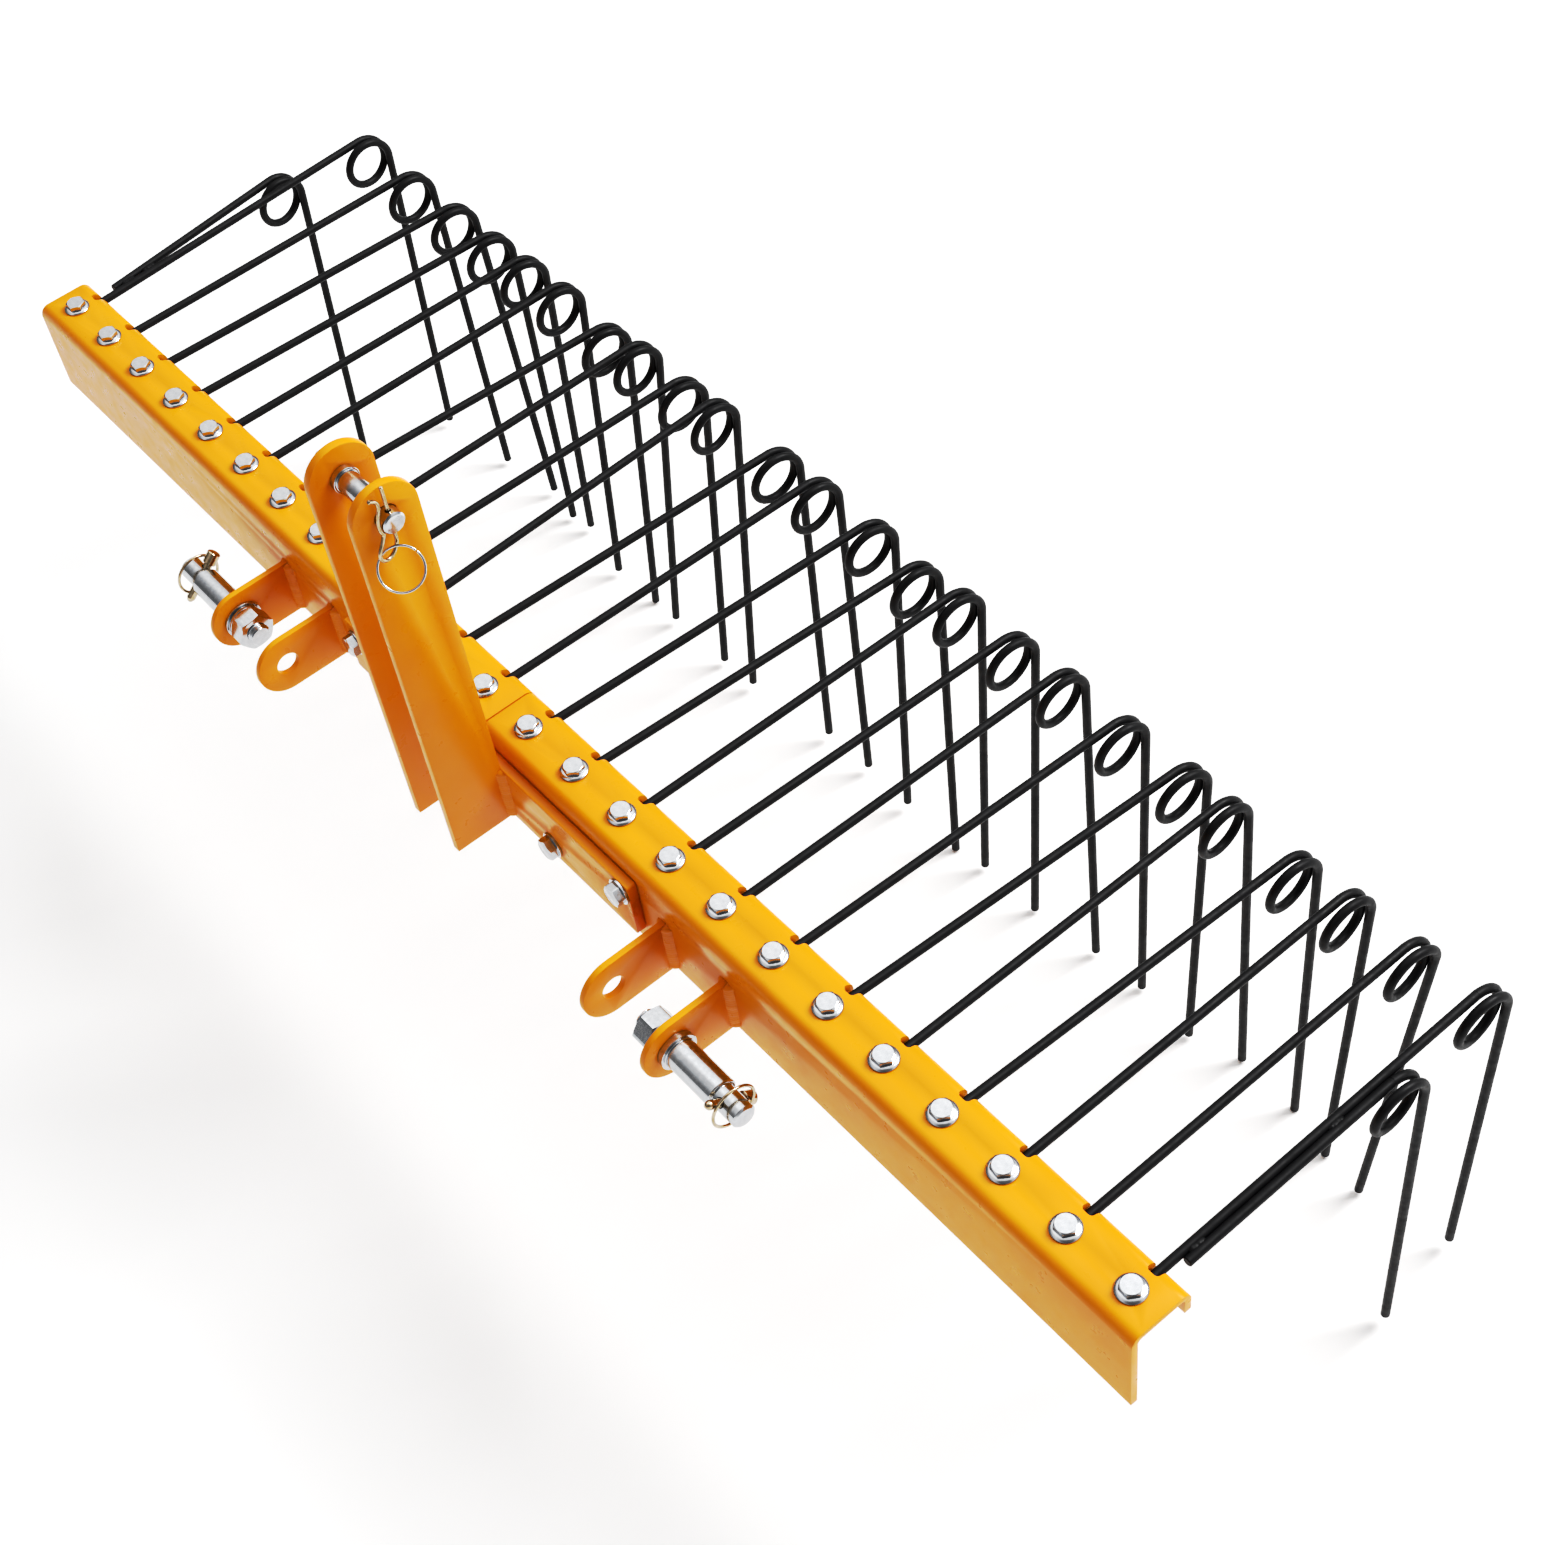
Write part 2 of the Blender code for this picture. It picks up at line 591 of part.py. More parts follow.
def tines(parent):
    """Every arm with its bolt, and every leg."""
    leg_mesh = leg_wire()
    for number in range(1, TINE_COUNT + 1):
        yaw = Matrix.Rotation(-radians(TINE_YAW_DEG[number - 1]), 4, "Z")
        height = -(SHEET + FIT_GAP + WIRE_RADIUS)
        place = Matrix.Translation((bolt_x(number), BOLT_LINE, height)) @ yaw
        drop = ARM_DROP_MM[number - 1] / 1000
        arm = arm_wire(drop)
        setting = {1: SHORT_LEFT, TINE_COUNT: SHORT_RIGHT}.get(number)
        if setting:
            extra, short_place = short_arm(setting, drop)
            combine(arm, extra, "UNION")
            end = arm_height(drop, SHORT_START + SHORT_REACH)
            spot = leg_place(place @ short_place, 0, SHORT_REACH, end, setting[2], setting[3])
            side = "left" if number == 1 else "right"
            node(f"outer_leg_{side}", copy_of(leg_mesh), "black_spring_steel", parent, spot)
        combine(arm, tine_bolt(), "UNION")
        node(f"tine_arm_{number:02d}", arm, "black_spring_steel", parent, place)
        splay, set_over = LEG_SPLAY_DEG[number - 1], LEG_SET_DEG[number - 1]
        spot = leg_place(place, ARM_SIDE, ARM_LENGTH, -drop, splay, set_over)
        node(f"tine_leg_{number:02d}", copy_of(leg_mesh), "black_spring_steel", parent, spot)
    bpy.data.objects.remove(leg_mesh)


# Assembly


def stand_on_origin(datum):
    """Moves the datum so that the origin is on the ground under the middle of the rake."""
    bpy.context.view_layer.update()
    bodies = [item for item in bpy.data.objects if item.type == "MESH"]
    points = [item.matrix_world @ v.co for item in bodies for v in item.data.vertices]
    low = [min(p[axis] for p in points) for axis in range(3)]
    high = [max(p[axis] for p in points) for axis in range(3)]
    datum.location = (-(low[0] + high[0]) / 2, -(low[1] + high[1]) / 2, -low[2])
    bpy.context.view_layer.update()


def build():
    clear_scene()
    datum = bpy.data.objects.new("beam_datum", None)
    bpy.context.scene.collection.objects.link(datum)
    node("beam_left", beam_half(-1), "orange_paint", datum)
    node("beam_right", beam_half(1), "orange_paint", datum)
    node("mast_bracket", mast_bracket(), "orange_paint", datum)
    node("top_link_pin", top_link_pin(), "bright_zinc", datum)
    clip = wire(clip_path(), CLIP_WIRE_RADIUS)
    at = recentre(clip, (CLIP_X, cheek_middle(), TOP_PIN_HEIGHT))
    node("hairpin_clip", clip, "yellow_zinc", datum, at)
    ring = loop_wire(RING_CENTRE, RING_NORMAL, RING_RADIUS, RING_WIRE_RADIUS)
    at = recentre(ring, RING_PIVOT)
    node("hairpin_ring", ring, "bright_zinc", datum, at)
    for name, side in (("right", 1), ("left", -1)):
        node(f"hitch_pin_{name}", hitch_pin(side), "bright_zinc", datum)
        pin = linch_pin(name)
        at = recentre(pin, (side * LINCH_X, LUG_PIN_Y, LUG_PIN_Z))
        node(f"linch_pin_{name}", pin, "yellow_zinc", datum, at)
    tines(datum)
    stand_on_origin(datum)


build()
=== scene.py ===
"""Looks for the three-point-hitch pine-straw rake: detailed pieces, finishes, studio and camera.

Pieces are drawn from the beam's datum, which is the middle of the web's front face at the height of
the flange's top, and stand in the same place as the CAD nodes that they replace. Metres, +Z up.
"""

from math import atan2, cos, pi, radians, sin, sqrt, tan

import bmesh
import bpy
from mathutils import Matrix, Vector, noise


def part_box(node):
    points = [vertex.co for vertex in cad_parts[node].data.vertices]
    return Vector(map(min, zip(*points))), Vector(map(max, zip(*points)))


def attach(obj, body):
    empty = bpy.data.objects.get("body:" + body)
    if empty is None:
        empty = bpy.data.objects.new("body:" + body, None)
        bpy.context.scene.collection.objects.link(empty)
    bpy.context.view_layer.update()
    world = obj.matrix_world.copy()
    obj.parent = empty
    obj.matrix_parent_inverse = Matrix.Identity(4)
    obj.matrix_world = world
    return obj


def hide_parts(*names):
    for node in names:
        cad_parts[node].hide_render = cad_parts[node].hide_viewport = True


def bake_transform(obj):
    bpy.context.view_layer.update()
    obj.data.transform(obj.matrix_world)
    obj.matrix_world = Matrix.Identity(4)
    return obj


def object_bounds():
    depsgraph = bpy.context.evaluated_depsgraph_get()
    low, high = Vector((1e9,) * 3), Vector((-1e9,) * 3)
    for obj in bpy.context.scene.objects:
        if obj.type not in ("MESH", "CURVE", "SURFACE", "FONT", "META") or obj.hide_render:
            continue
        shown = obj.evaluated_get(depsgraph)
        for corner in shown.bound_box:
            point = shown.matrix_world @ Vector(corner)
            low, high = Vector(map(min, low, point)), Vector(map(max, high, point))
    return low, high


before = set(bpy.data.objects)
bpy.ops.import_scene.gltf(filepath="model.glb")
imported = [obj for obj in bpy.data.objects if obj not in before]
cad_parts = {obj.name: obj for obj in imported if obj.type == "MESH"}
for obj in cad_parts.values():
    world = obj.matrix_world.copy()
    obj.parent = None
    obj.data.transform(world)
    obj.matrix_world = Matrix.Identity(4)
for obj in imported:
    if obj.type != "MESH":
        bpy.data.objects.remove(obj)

CAD_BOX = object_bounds()

# Sizes, as the CAD has them
BEAM_LENGTH = 1.524
FLANGE_DEPTH = 0.057
WEB_HEIGHT = 0.097
LIP_HEIGHT = 0.025
SHEET = 0.006
BEND_RADIUS = 0.010
SEAM_GAP = 0.0006
FIT_GAP = 0.0003
TINE_COUNT = 24
TINE_PITCH = 0.0638
BOLT_LINE = 0.028
WIRE_RADIUS = 0.004
ARM_LENGTH = 0.354
ARM_SIDE = -0.0005
ARM_STRAIGHT = 0.022
EYE_RADIUS = 0.0086
COIL_RADIUS = 0.0243
COIL_ADVANCE = 0.0118
LEG_START_DEG = 82
LEG_LENGTH = 0.3687
LEG_LEAN_DEG = -1.5
NOTCH_WIDTH = 0.0110
NOTCH_DEPTH = 0.0100
NOTCH_SIDE = 0.0003
NOTCH_CLEARANCE = 0.0004
NOTCH_BOTTOM = 0.017
NOTCH_CORNER = 0.0032
TINE_BOLT_RADIUS = 0.005
TINE_BOLT_TURN_DEG = 20.0
TINE_HEAD_HEX = 0.0097  # a hexagon's size is its centre to its corner
TINE_HEAD_HEIGHT = 0.006
TINE_NUT_HEX = 0.0095
TINE_NUT_HEIGHT = 0.0084
SHORT_START = 0.046
SHORT_REACH = 0.209
PLATE_HALF_LENGTH = 0.206
PLATE_THICKNESS = 0.009
PLATE_TOP = -0.016
PLATE_BOTTOM = -0.077
MAST_OFFSET = 0.005
MAST_GAP = 0.050
CHEEK_THICKNESS = 0.008
CHEEK_WIDTH = 0.058
CHEEK_SUNK = 0.0003
PLATE_FACE = -(PLATE_THICKNESS + FIT_GAP)
CHEEK_MIDDLE = PLATE_FACE + CHEEK_SUNK - CHEEK_WIDTH / 2
TOP_PIN_HEIGHT = 0.303
SPLICE_BOLTS = ((0.100, -0.061), (0.199, -0.029), (-0.090, -0.061), (-0.186, -0.035))
SPLICE_BOLT_RADIUS = 0.006
SPLICE_HEX = 0.0106
SPLICE_HEAD_HEIGHT = 0.0075
SPLICE_NUT_HEIGHT = 0.0098
SPLICE_WASHER_RADIUS = 0.0122
SPLICE_WASHER_THICKNESS = 0.0025
LUG_THICKNESS = 0.006
LUG_RADIUS = 0.030
LUG_PIN_Y = -0.0584
LUG_PIN_Z = -0.067
INNER_LUG_X = 0.239
OUTER_LUG_X = 0.317
LUG_HOLE_RADIUS = 0.011
COLLAR_THICKNESS = 0.006
TOP_PIN_RADIUS = 0.0095
TOP_PIN_END = 0.050
TOP_SHANK_RADIUS = 0.008
TOP_COLLAR_RADIUS = 0.0115
TOP_NUT_HEX = 0.0158
TOP_NUT_HEIGHT = 0.0145
CLIP_X = 0.0435
CLIP_TURN_DEG = 14.0
CLIP_WIRE_RADIUS = 0.0016
RING_RADIUS = 0.0175
RING_WIRE_RADIUS = 0.0010
RING_CENTRE = (0.0572, -0.0471, 0.2678)
RING_NORMAL = (0.67, -0.36, 0.65)
RING_PIVOT = (0.0475, -0.0540, 0.2745)
HITCH_PIN_RADIUS = 0.014
HITCH_END_RADIUS = 0.011
HITCH_STEP_X = 0.382
HITCH_END_X = 0.410
HITCH_COLLAR_RADIUS = 0.0175
HITCH_NUT_HEX = 0.0187
HITCH_NUT_HEIGHT = 0.0183
LINCH_X = 0.390
LINCH_RADIUS = 0.004
LINCH_RING_RADIUS = 0.020
LINCH_WIRE_RADIUS = 0.0013
LINCH_TILT_DEG = {"right": -39.0, "left": 42.0}

# How each tine was turned about its bolt, and its leg set over sideways and lengthways
TINE_YAW_DEG = (
    (-3.5, -1.0, 1.5, 1.5, 0.5, 0.0, 1.5, -0.5, 0.5, -2.0, 2.5, 1.0)
    + (3.0, 2.0, 0.5, 1.0, 0.5, 1.5, 2.5, -0.5, 1.0, -0.5, -0.5, 0.0)
)
LEG_SPLAY_DEG = (
    (0.5, 4.0, 4.0, 1.5, -3.0, -0.5, -2.5, -4.0, -2.0, -2.0, 0.5, 1.5)
    + (-0.5, 1.5, -1.0, -0.5, 2.0, 0.0, -0.5, 0.5, -0.5, -1.0, -4.0, -1.0)
)
LEG_SET_DEG = (
    (-1.0, 0.5, 2.0, 0.5, 1.0, -2.0, -1.5, -2.0, -2.0, -2.0, 0.0, 0.0)
    + (-0.5, -0.5, 0.0, 0.0, 1.0, 1.5, 0.5, 3.0, 2.5, 0.0, -1.0, 1.5)
)

# How far each arm's end sags below its eye, in millimetres
ARM_DROP_MM = (
    (-1, 4, 2, 3, 1, 0, 8, 0, 1, -2, -2, -1)
    + (-2, 9, 3, 6, 4, 6, 5, 9, 11, 8, 7, -2)
)
SHORT_RIGHT = (0.0081, -0.1, -0.5, 2.5)
SHORT_LEFT = (-0.0083, -3.9, -1.5, -1.0)

# Roundness of the pieces
WIRE_SIDES = 20
PIN_SIDES = 64
EDGE_ROUND = 0.0007
SEAM_ROUND = 0.0004  # taken off either side of the seam
WELD_SIZE = 0.0062
HOLE_PLAY = 0.0006
CUT_PAST = 0.005  # how far a notch's cutter stands out of the sheet
DRILL_LEAD = 0.002  # and a drill out of its face
CROSS_REACH = 0.02  # and a cross hole's cutter either way from the pin's axis

# Studio
DARK_SIDE = (0.535, -0.341, 0.773)  # the studio is dark this way
SOFTBOX_SIDE = (-0.535, 0.341, 0.773)  # and has a wide softbox this way
SKY_STOPS = ((0.0, 0.42), (0.3, 0.42), (0.50, 0.75), (0.75, 1.25), (1.0, 1.7))
KEY_PLACE = (1.9, 4.6, 5.6)
KEY_TARGET = (0, 0, 0.2)
KEY_SIZE = (3.0, 3.0)
KEY_POWER = 700
FLOOR_SIZE = 9.0
CAMERA_FROM_DATUM = (1.2994, -0.5494, 1.5720)
CAMERA_TURN_DEG = (57.51, 50.65, 9.5)  # azimuth, elevation and roll
CAMERA_LENS = 58.62
CAMERA_SENSOR = 36
FILM_WHITE = 1.5  # this scene brightness and more is drawn white
FILM_CURVE = (
    ((0, 0), (0.013, 0.004), (0.065, 0.038), (0.107, 0.08), (0.173, 0.165), (0.207, 0.23))
    + ((0.287, 0.42), (0.487, 0.63), (0.8, 0.86), (1, 1))
)

left_half, right_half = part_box("beam_left"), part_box("beam_right")
DATUM = Vector(
    ((left_half[1].x + right_half[0].x) / 2, right_half[1].y - FLANGE_DEPTH, right_half[1].z)
)


# Finishes


def principled(name, base, metallic, roughness, specular=0.5):
    """A material and its shader, with the settings that are the same all over."""
    material = bpy.data.materials.new(name)
    material.use_nodes = True
    shader = material.node_tree.nodes["Principled BSDF"]
    shader.inputs["Base Color"].default_value = (*base, 1.0)
    shader.inputs["Metallic"].default_value = metallic
    shader.inputs["Roughness"].default_value = roughness
    shader.inputs["Specular IOR Level"].default_value = specular
    material.diffuse_color = (*base, 1.0)
    return material, shader


def add(material, kind, links=(), **values):
    """A node in the material, with its inputs set and linked."""
    made = material.node_tree.nodes.new(kind)
    for socket, value in values.items():
        made.inputs[socket].default_value = value
    for socket, source in links:
        material.node_tree.links.new(source, made.inputs[socket])
    return made


def object_noise(material, scale, detail=3.0, stretch=None):
    """Noise fixed to the piece, at this many cells a metre."""
    place = add(material, "ShaderNodeTexCoord").outputs["Object"]
    if stretch:
        mapping = add(material, "ShaderNodeMapping", [("Vector", place)], Scale=stretch)
        place = mapping.outputs["Vector"]
    links = [("Vector", place)]
    made = add(material, "ShaderNodeTexNoise", links, Scale=scale, Detail=detail)
    return made.outputs["Fac"]


def ramp(material, source, stops):
    """Colours along a factor."""
    made = add(material, "ShaderNodeValToRGB", [("Fac", source)])
    elements = made.color_ramp.elements
    while len(elements) < len(stops):
        elements.new(0.5)
    for element, (position, colour) in zip(elements, stops):
        element.position = position
        element.color = (*colour, 1.0)
    return made.outputs["Color"]


def spread(material, source, low, high, start=0.3, end=0.7):
    """The factor's middle range, spread between two values."""
    made = add(material, "ShaderNodeMapRange", [("Value", source)])
    made.inputs["From Min"].default_value = start
    made.inputs["From Max"].default_value = end
    made.inputs["To Min"].default_value = low
    made.inputs["To Max"].default_value = high
    return made.outputs["Result"]


def bumps(material, shader, layers):
    """Bumps laid one on another. Each layer is (height source, depth in metres)."""
    normal = None
    for source, depth in layers:
        links = [("Height", source)] + ([("Normal", normal)] if normal else [])
        made = add(material, "ShaderNodeBump", links, Strength=1.0, Distance=depth)
        normal = made.outputs["Normal"]
    material.node_tree.links.new(normal, shader.inputs["Normal"])


def link(material, source, shader, socket):
    material.node_tree.links.new(source, shader.inputs[socket])


def orange_paint():
    """Semi-gloss powder coat: an orange-peel skin, slightly uneven in tone and gloss."""
    material, shader = principled("orange_paint", (0.67, 0.243, 0.003), 0.0, 0.31, 0.2)
    cloud = object_noise(material, 9.0, 2.0)
    tones = [
        (0.3, (0.64, 0.222, 0.003)),
        (0.55, (0.67, 0.243, 0.003)),
        (0.8, (0.69, 0.258, 0.003)),
    ]
    link(material, ramp(material, cloud, tones), shader, "Base Color")
    gloss = object_noise(material, 60.0, 3.0)
    link(material, spread(material, gloss, 0.26, 0.36), shader, "Roughness")
    peel = object_noise(material, 420.0, 1.5)
    bumps(material, shader, [(peel, 0.00003)])
    return material


def black_spring_steel():
    """Satin black over drawn wire: fine grain, small dents and duller patches."""
    material, shader = principled("black_spring_steel", (0.014, 0.014, 0.015), 0.0, 0.45, 0.2)
    patch = object_noise(material, 35.0, 4.0)
    tones = [
        (0.32, (0.010, 0.010, 0.0105)),
        (0.6, (0.014, 0.014, 0.015)),
        (0.8, (0.020, 0.0197, 0.020)),
    ]
    link(material, ramp(material, patch, tones), shader, "Base Color")
    rub = object_noise(material, 150.0, 4.0)
    link(material, spread(material, rub, 0.38, 0.58), shader, "Roughness")
    grain = object_noise(material, 1800.0, 3.0)
    dents = object_noise(material, 240.0, 2.0)
    bumps(material, shader, [(dents, 0.00010), (grain, 0.00003)])
    return material


def zinc(name, dark, light, low, high):
    """Zinc plate: a mottled metal, brushed a little by handling."""
    middle = [(a + b) / 2 for a, b in zip(dark, light)]
    material, shader = principled(name, middle, 1.0, (low + high) / 2)
    bloom = object_noise(material, 260.0, 4.0)
    link(material, ramp(material, bloom, [(0.3, dark), (0.7, light)]), shader, "Base Color")
    haze = object_noise(material, 480.0, 3.0)
    link(material, spread(material, haze, low, high), shader, "Roughness")
    scratch = object_noise(material, 900.0, 3.0, stretch=(1.0, 6.0, 6.0))
    ripple = object_noise(material, 170.0, 2.0)
    bumps(material, shader, [(ripple, 0.000008), (scratch, 0.000003)])
    return material


FINISHES = {
    "orange_paint": orange_paint(),
    "black_spring_steel": black_spring_steel(),
    "bright_zinc": zinc("bright_zinc", (0.46, 0.475, 0.495), (0.56, 0.57, 0.585), 0.12, 0.22),
    "yellow_zinc": zinc("yellow_zinc", (0.36, 0.28, 0.19), (0.55, 0.46, 0.33), 0.12, 0.22),
}


# Mesh building


def closed_mesh(name, vertices, faces, crease_deg=35):
    """A closed mesh with its faces out, smooth except at its creases."""
    mesh = bpy.data.meshes.new(name)
    mesh.from_pydata([tuple(v) for v in vertices], [], faces)
    return tidy_mesh(mesh, crease_deg)


def tidy_mesh(mesh, crease_deg=35):
    work = bmesh.new()
    work.from_mesh(mesh)
    bmesh.ops.recalc_face_normals(work, faces=work.faces)
    work.to_mesh(mesh)
    work.free()
    mesh.shade_smooth()
    mesh.set_sharp_from_angle(angle=radians(crease_deg))
    return mesh


def skin(rings, round_trip=False):
    """Vertices and faces through rings of equal size, capped or joined end to end."""
    sides = len(rings[0])
    count = len(rings)
    faces = [] if round_trip else [tuple(range(sides))]
    for ring in range(count if round_trip else count - 1):
        low, high = ring * sides, (ring + 1) % count * sides
        for side in range(sides):
            after = (side + 1) % sides
            faces.append((low + side, low + after, high + after, high + side))
    if not round_trip:
        last = (count - 1) * sides
        faces.append(tuple(range(last, last + sides)))
    return [v for ring in rings for v in ring], faces


def gather(shapes):
    """Several closed shapes as one list of vertices and one of faces."""
    vertices, faces = [], []
    for points, sides in shapes:
        start = len(vertices)
        vertices += [Vector(p) for p in points]
        faces += [tuple(start + i for i in face) for face in sides]
    return vertices, faces


def moved(shape, matrix):
    return [matrix @ Vector(p) for p in shape[0]], shape[1]


def across(direction):
    """Two unit vectors square to the direction and to each other."""
    guide = Vector((0, 0, 1)) if abs(direction.z) < 0.9 else Vector((0, 1, 0))
    side = direction.cross(guide).normalized()
    return side, side.cross(direction).normalized()


def circle(centre, side, up, radius, sides, phase=0.0):
    turns = [2 * pi * (k + phase) / sides for k in range(sides)]
    return [centre + radius * (cos(a) * side + sin(a) * up) for a in turns]


def turned(start, direction, profile, sides=PIN_SIDES):
    """A lathe-turned body. Profile holds (distance along the axis, radius)."""
    start = Vector(start)
    direction = Vector(direction).normalized()
    side, up = across(direction)
    return skin([circle(start + d * direction, side, up, r, sides) for d, r in profile])


def wire(points, radius, sides=WIRE_SIDES, dress=(0.0, 0.0)):
    """Round wire bent along the points without twisting. Dress is the chamfer at each end."""
    points = [Vector(p) for p in points]
    sizes = [radius] * len(points)
    if dress[0]:
        points.insert(1, points[0] + dress[0] * (points[1] - points[0]).normalized())
        sizes.insert(0, radius - dress[0])
    if dress[1]:
        points.insert(-1, points[-1] + dress[1] * (points[-2] - points[-1]).normalized())
        sizes.append(radius - dress[1])
    steps = [(b - a).normalized() for a, b in zip(points, points[1:])]
    ways = [steps[0]] + [(a + b).normalized() for a, b in zip(steps, steps[1:])] + [steps[-1]]
    side, _ = across(ways[0])
    rings = []
    for point, way, size in zip(points, ways, sizes):
        side = (side - side.dot(way) * way).normalized()
        rings.append(circle(point, side, side.cross(way), size, sides))
    return skin(rings)


def smooth_path(points, steps):
    """A curve through the points, with this many steps between two of them."""
    points = [Vector(p) for p in points]
    ends = [2 * points[0] - points[1]] + points + [2 * points[-1] - points[-2]]
    path = []
    for a, b, c, d in zip(ends, ends[1:], ends[2:], ends[3:]):
        for k in range(steps):
            t = k / steps
            curve = 2 * b + (c - a) * t + (2 * a - 5 * b + 4 * c - d) * t * t
            path.append((curve + (3 * b - 3 * c + d - a) * t**3) / 2)
    return path + [points[-1]]


def bezier(a, b, c, d, steps):
    """Points along a cubic curve, without its first."""
    a, b, c, d = (Vector(p) for p in (a, b, c, d))
    curve = []
    for k in range(1, steps + 1):
        t = k / steps
        u = 1 - t
        curve.append(u**3 * a + 3 * u * u * t * b + 3 * u * t * t * c + t**3 * d)
    return curve


def arc(centre, radius, from_deg, to_deg, steps):
    turns = [radians(from_deg + (to_deg - from_deg) * k / steps) for k in range(steps + 1)]
    return [(centre[0] + radius * cos(a), centre[1] + radius * sin(a)) for a in turns]


def plate(outline, axis, low, high):
    """The outline, drawn in the two other axes' order, as thick as from low to high."""
    place = {
        "X": lambda u, v, w: (w, u, v),
        "Y": lambda u, v, w: (u, w, v),
        "Z": lambda u, v, w: (u, v, w),
    }[axis]
    return skin([[place(u, v, w) for u, v in outline] for w in (low, high)])


def hexagon(corner, height, chamfer_low, chamfer_high, facets=12):
    """A hex head or nut along +Z, its corners turned off by a chamfer at either end."""
    flat = corner * cos(pi / 6)
    around = []
    for k in range(6 * facets):
        a = 2 * pi * k / (6 * facets)
        reach = flat / cos((a + pi / 6) % (pi / 3) - pi / 6)
        around.append((a, min(reach, corner * 0.985)))
    turned_off = flat * 0.95
    slope = tan(radians(28))

    def ring(z, way, chamfer):
        outer = []
        for a, reach in around:
            fall = (reach - turned_off) * slope if chamfer else 0.0
            outer.append(Vector((reach * cos(a), reach * sin(a), z - way * fall)))
        return outer

    def face(z):
        return [Vector((turned_off * cos(a), turned_off * sin(a), z)) for a, _ in around]

    rings = [face(0.0)] if chamfer_low else []
    rings.append(ring(0.0, -1, chamfer_low))
    rings.append(ring(height, 1, chamfer_high))
    if chamfer_high:
        rings.append(face(height))
    return skin(rings)


def drill(start, way, radius, depth, sides=PIN_SIDES):
    """A cutter for a round hole, from just before its face."""
    return turned(start, way, [(-DRILL_LEAD, radius), (depth, radius)], sides)


def cross_hole(middle, way, radius, sides):
    """A cutter for a hole right through a pin."""
    return turned(middle, way, [(-CROSS_REACH, radius), (CROSS_REACH, radius)], sides)


def disc(start, end, radius, edge=0.0004):
    """The profile of a washer or a collar, its edges broken."""
    low = [(start, radius - edge), (start + edge, radius)]
    return low + [(end - edge, radius), (end, radius - edge)]


def apply_modifiers(item):
    """Makes the object's evaluated mesh its own mesh."""
    bpy.context.view_layer.update()
    graph = bpy.context.evaluated_depsgraph_get()
    result = bpy.data.meshes.new_from_object(item.evaluated_get(graph))
    item.modifiers.clear()
    old = item.data
    item.data = result
    bpy.data.meshes.remove(old)
    return item


def helper(shape):
    """A scratch object for a cut."""
    item = bpy.data.objects.new("helper", closed_mesh("helper", *shape))
    bpy.context.scene.collection.objects.link(item)
    return item


def carved(shape, cutters, edge=EDGE_ROUND, crease_deg=35):
    """The shape less its cutters, with its sharp edges rounded. Returns a mesh."""
    item = helper(shape)
    tools = [helper(cutter) for cutter in cutters]
    for tool in tools:
        cut = item.modifiers.new("cut", "BOOLEAN")
        cut.solver = "EXACT"
        cut.operation = "DIFFERENCE"
        cut.object = tool
    apply_modifiers(item)
    if edge:
        rounding = item.modifiers.new("rounding", "BEVEL")
        rounding.limit_method = "ANGLE"
        rounding.angle_limit = radians(40)
        rounding.width = edge
        rounding.segments = 2
        apply_modifiers(item)
    mesh = item.data
    for used in [item] + tools:
        bpy.data.objects.remove(used)
    return tidy_mesh(mesh, crease_deg)


def piece(name, mesh, finish, nodes, body="rake_frame", place=None):
    """A finished piece that rides on a body and stands for CAD nodes."""
    if not isinstance(mesh, bpy.types.Mesh):
        mesh = closed_mesh(name, *mesh)
    mesh.name = name
    mesh.materials.clear()
    mesh.materials.append(FINISHES[finish])
    item = bpy.data.objects.new(name, mesh)
    bpy.context.scene.collection.objects.link(item)
    item.matrix_world = Matrix.Translation(DATUM) @ (place or Matrix())
    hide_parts(*([nodes] if isinstance(nodes, str) else nodes))
    if body:
        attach(item, body)
    return item


# Welds


def weld(start, end, wall_a, wall_b, size, seed=0.0, sink=0.0006, pitch=0.0032):
    """A rippled fillet from start to end, in the corner between two walls.

    The walls are unit vectors out of the corner, along each wall's face. The fillet rounds off at
    its ends, wanders a little in width and is sunk a little into both walls.
    """
    start, end = Vector(start), Vector(end)
    wall_a, wall_b = Vector(wall_a), Vector(wall_b)
    run = end - start
    length = run.length
    way = run.normalized()
    count = max(8, int(length / 0.0006))
    steps = 9
    rings = []
    for k in range(count + 1):
        s = length * k / count
        from_end = min(1.0, min(s, length - s) / (0.7 * size))
        taper = max(0.05, sqrt(max(0.0, 1 - (1 - from_end) ** 2)))
        wander = 1 + 0.10 * noise.noise(Vector((s * 180, seed, 0.0)))
        ring = []
        for j in range(steps + 1):
            t = j / steps
            lag = 0.35 * sin(pi * t)
            ripple = 1 + 0.045 * abs(sin(pi * (s / pitch + lag + seed)))
            a = t * pi / 2
            straight = 1 / (cos(a) + sin(a))
            reach = size * taper * wander * (0.62 * straight + 0.38 * 0.86) * ripple
            ring.append(start + s * way + reach * (cos(a) * wall_a + sin(a) * wall_b))
        back = start + s * way - sink * (wall_a + wall_b)
        ring.append(back + (size * taper * 0.9) * wall_b)
        ring.append(back)
        ring.append(back + (size * taper * 0.9) * wall_a)
        rings.append(ring)
    return skin(rings)


# Beam


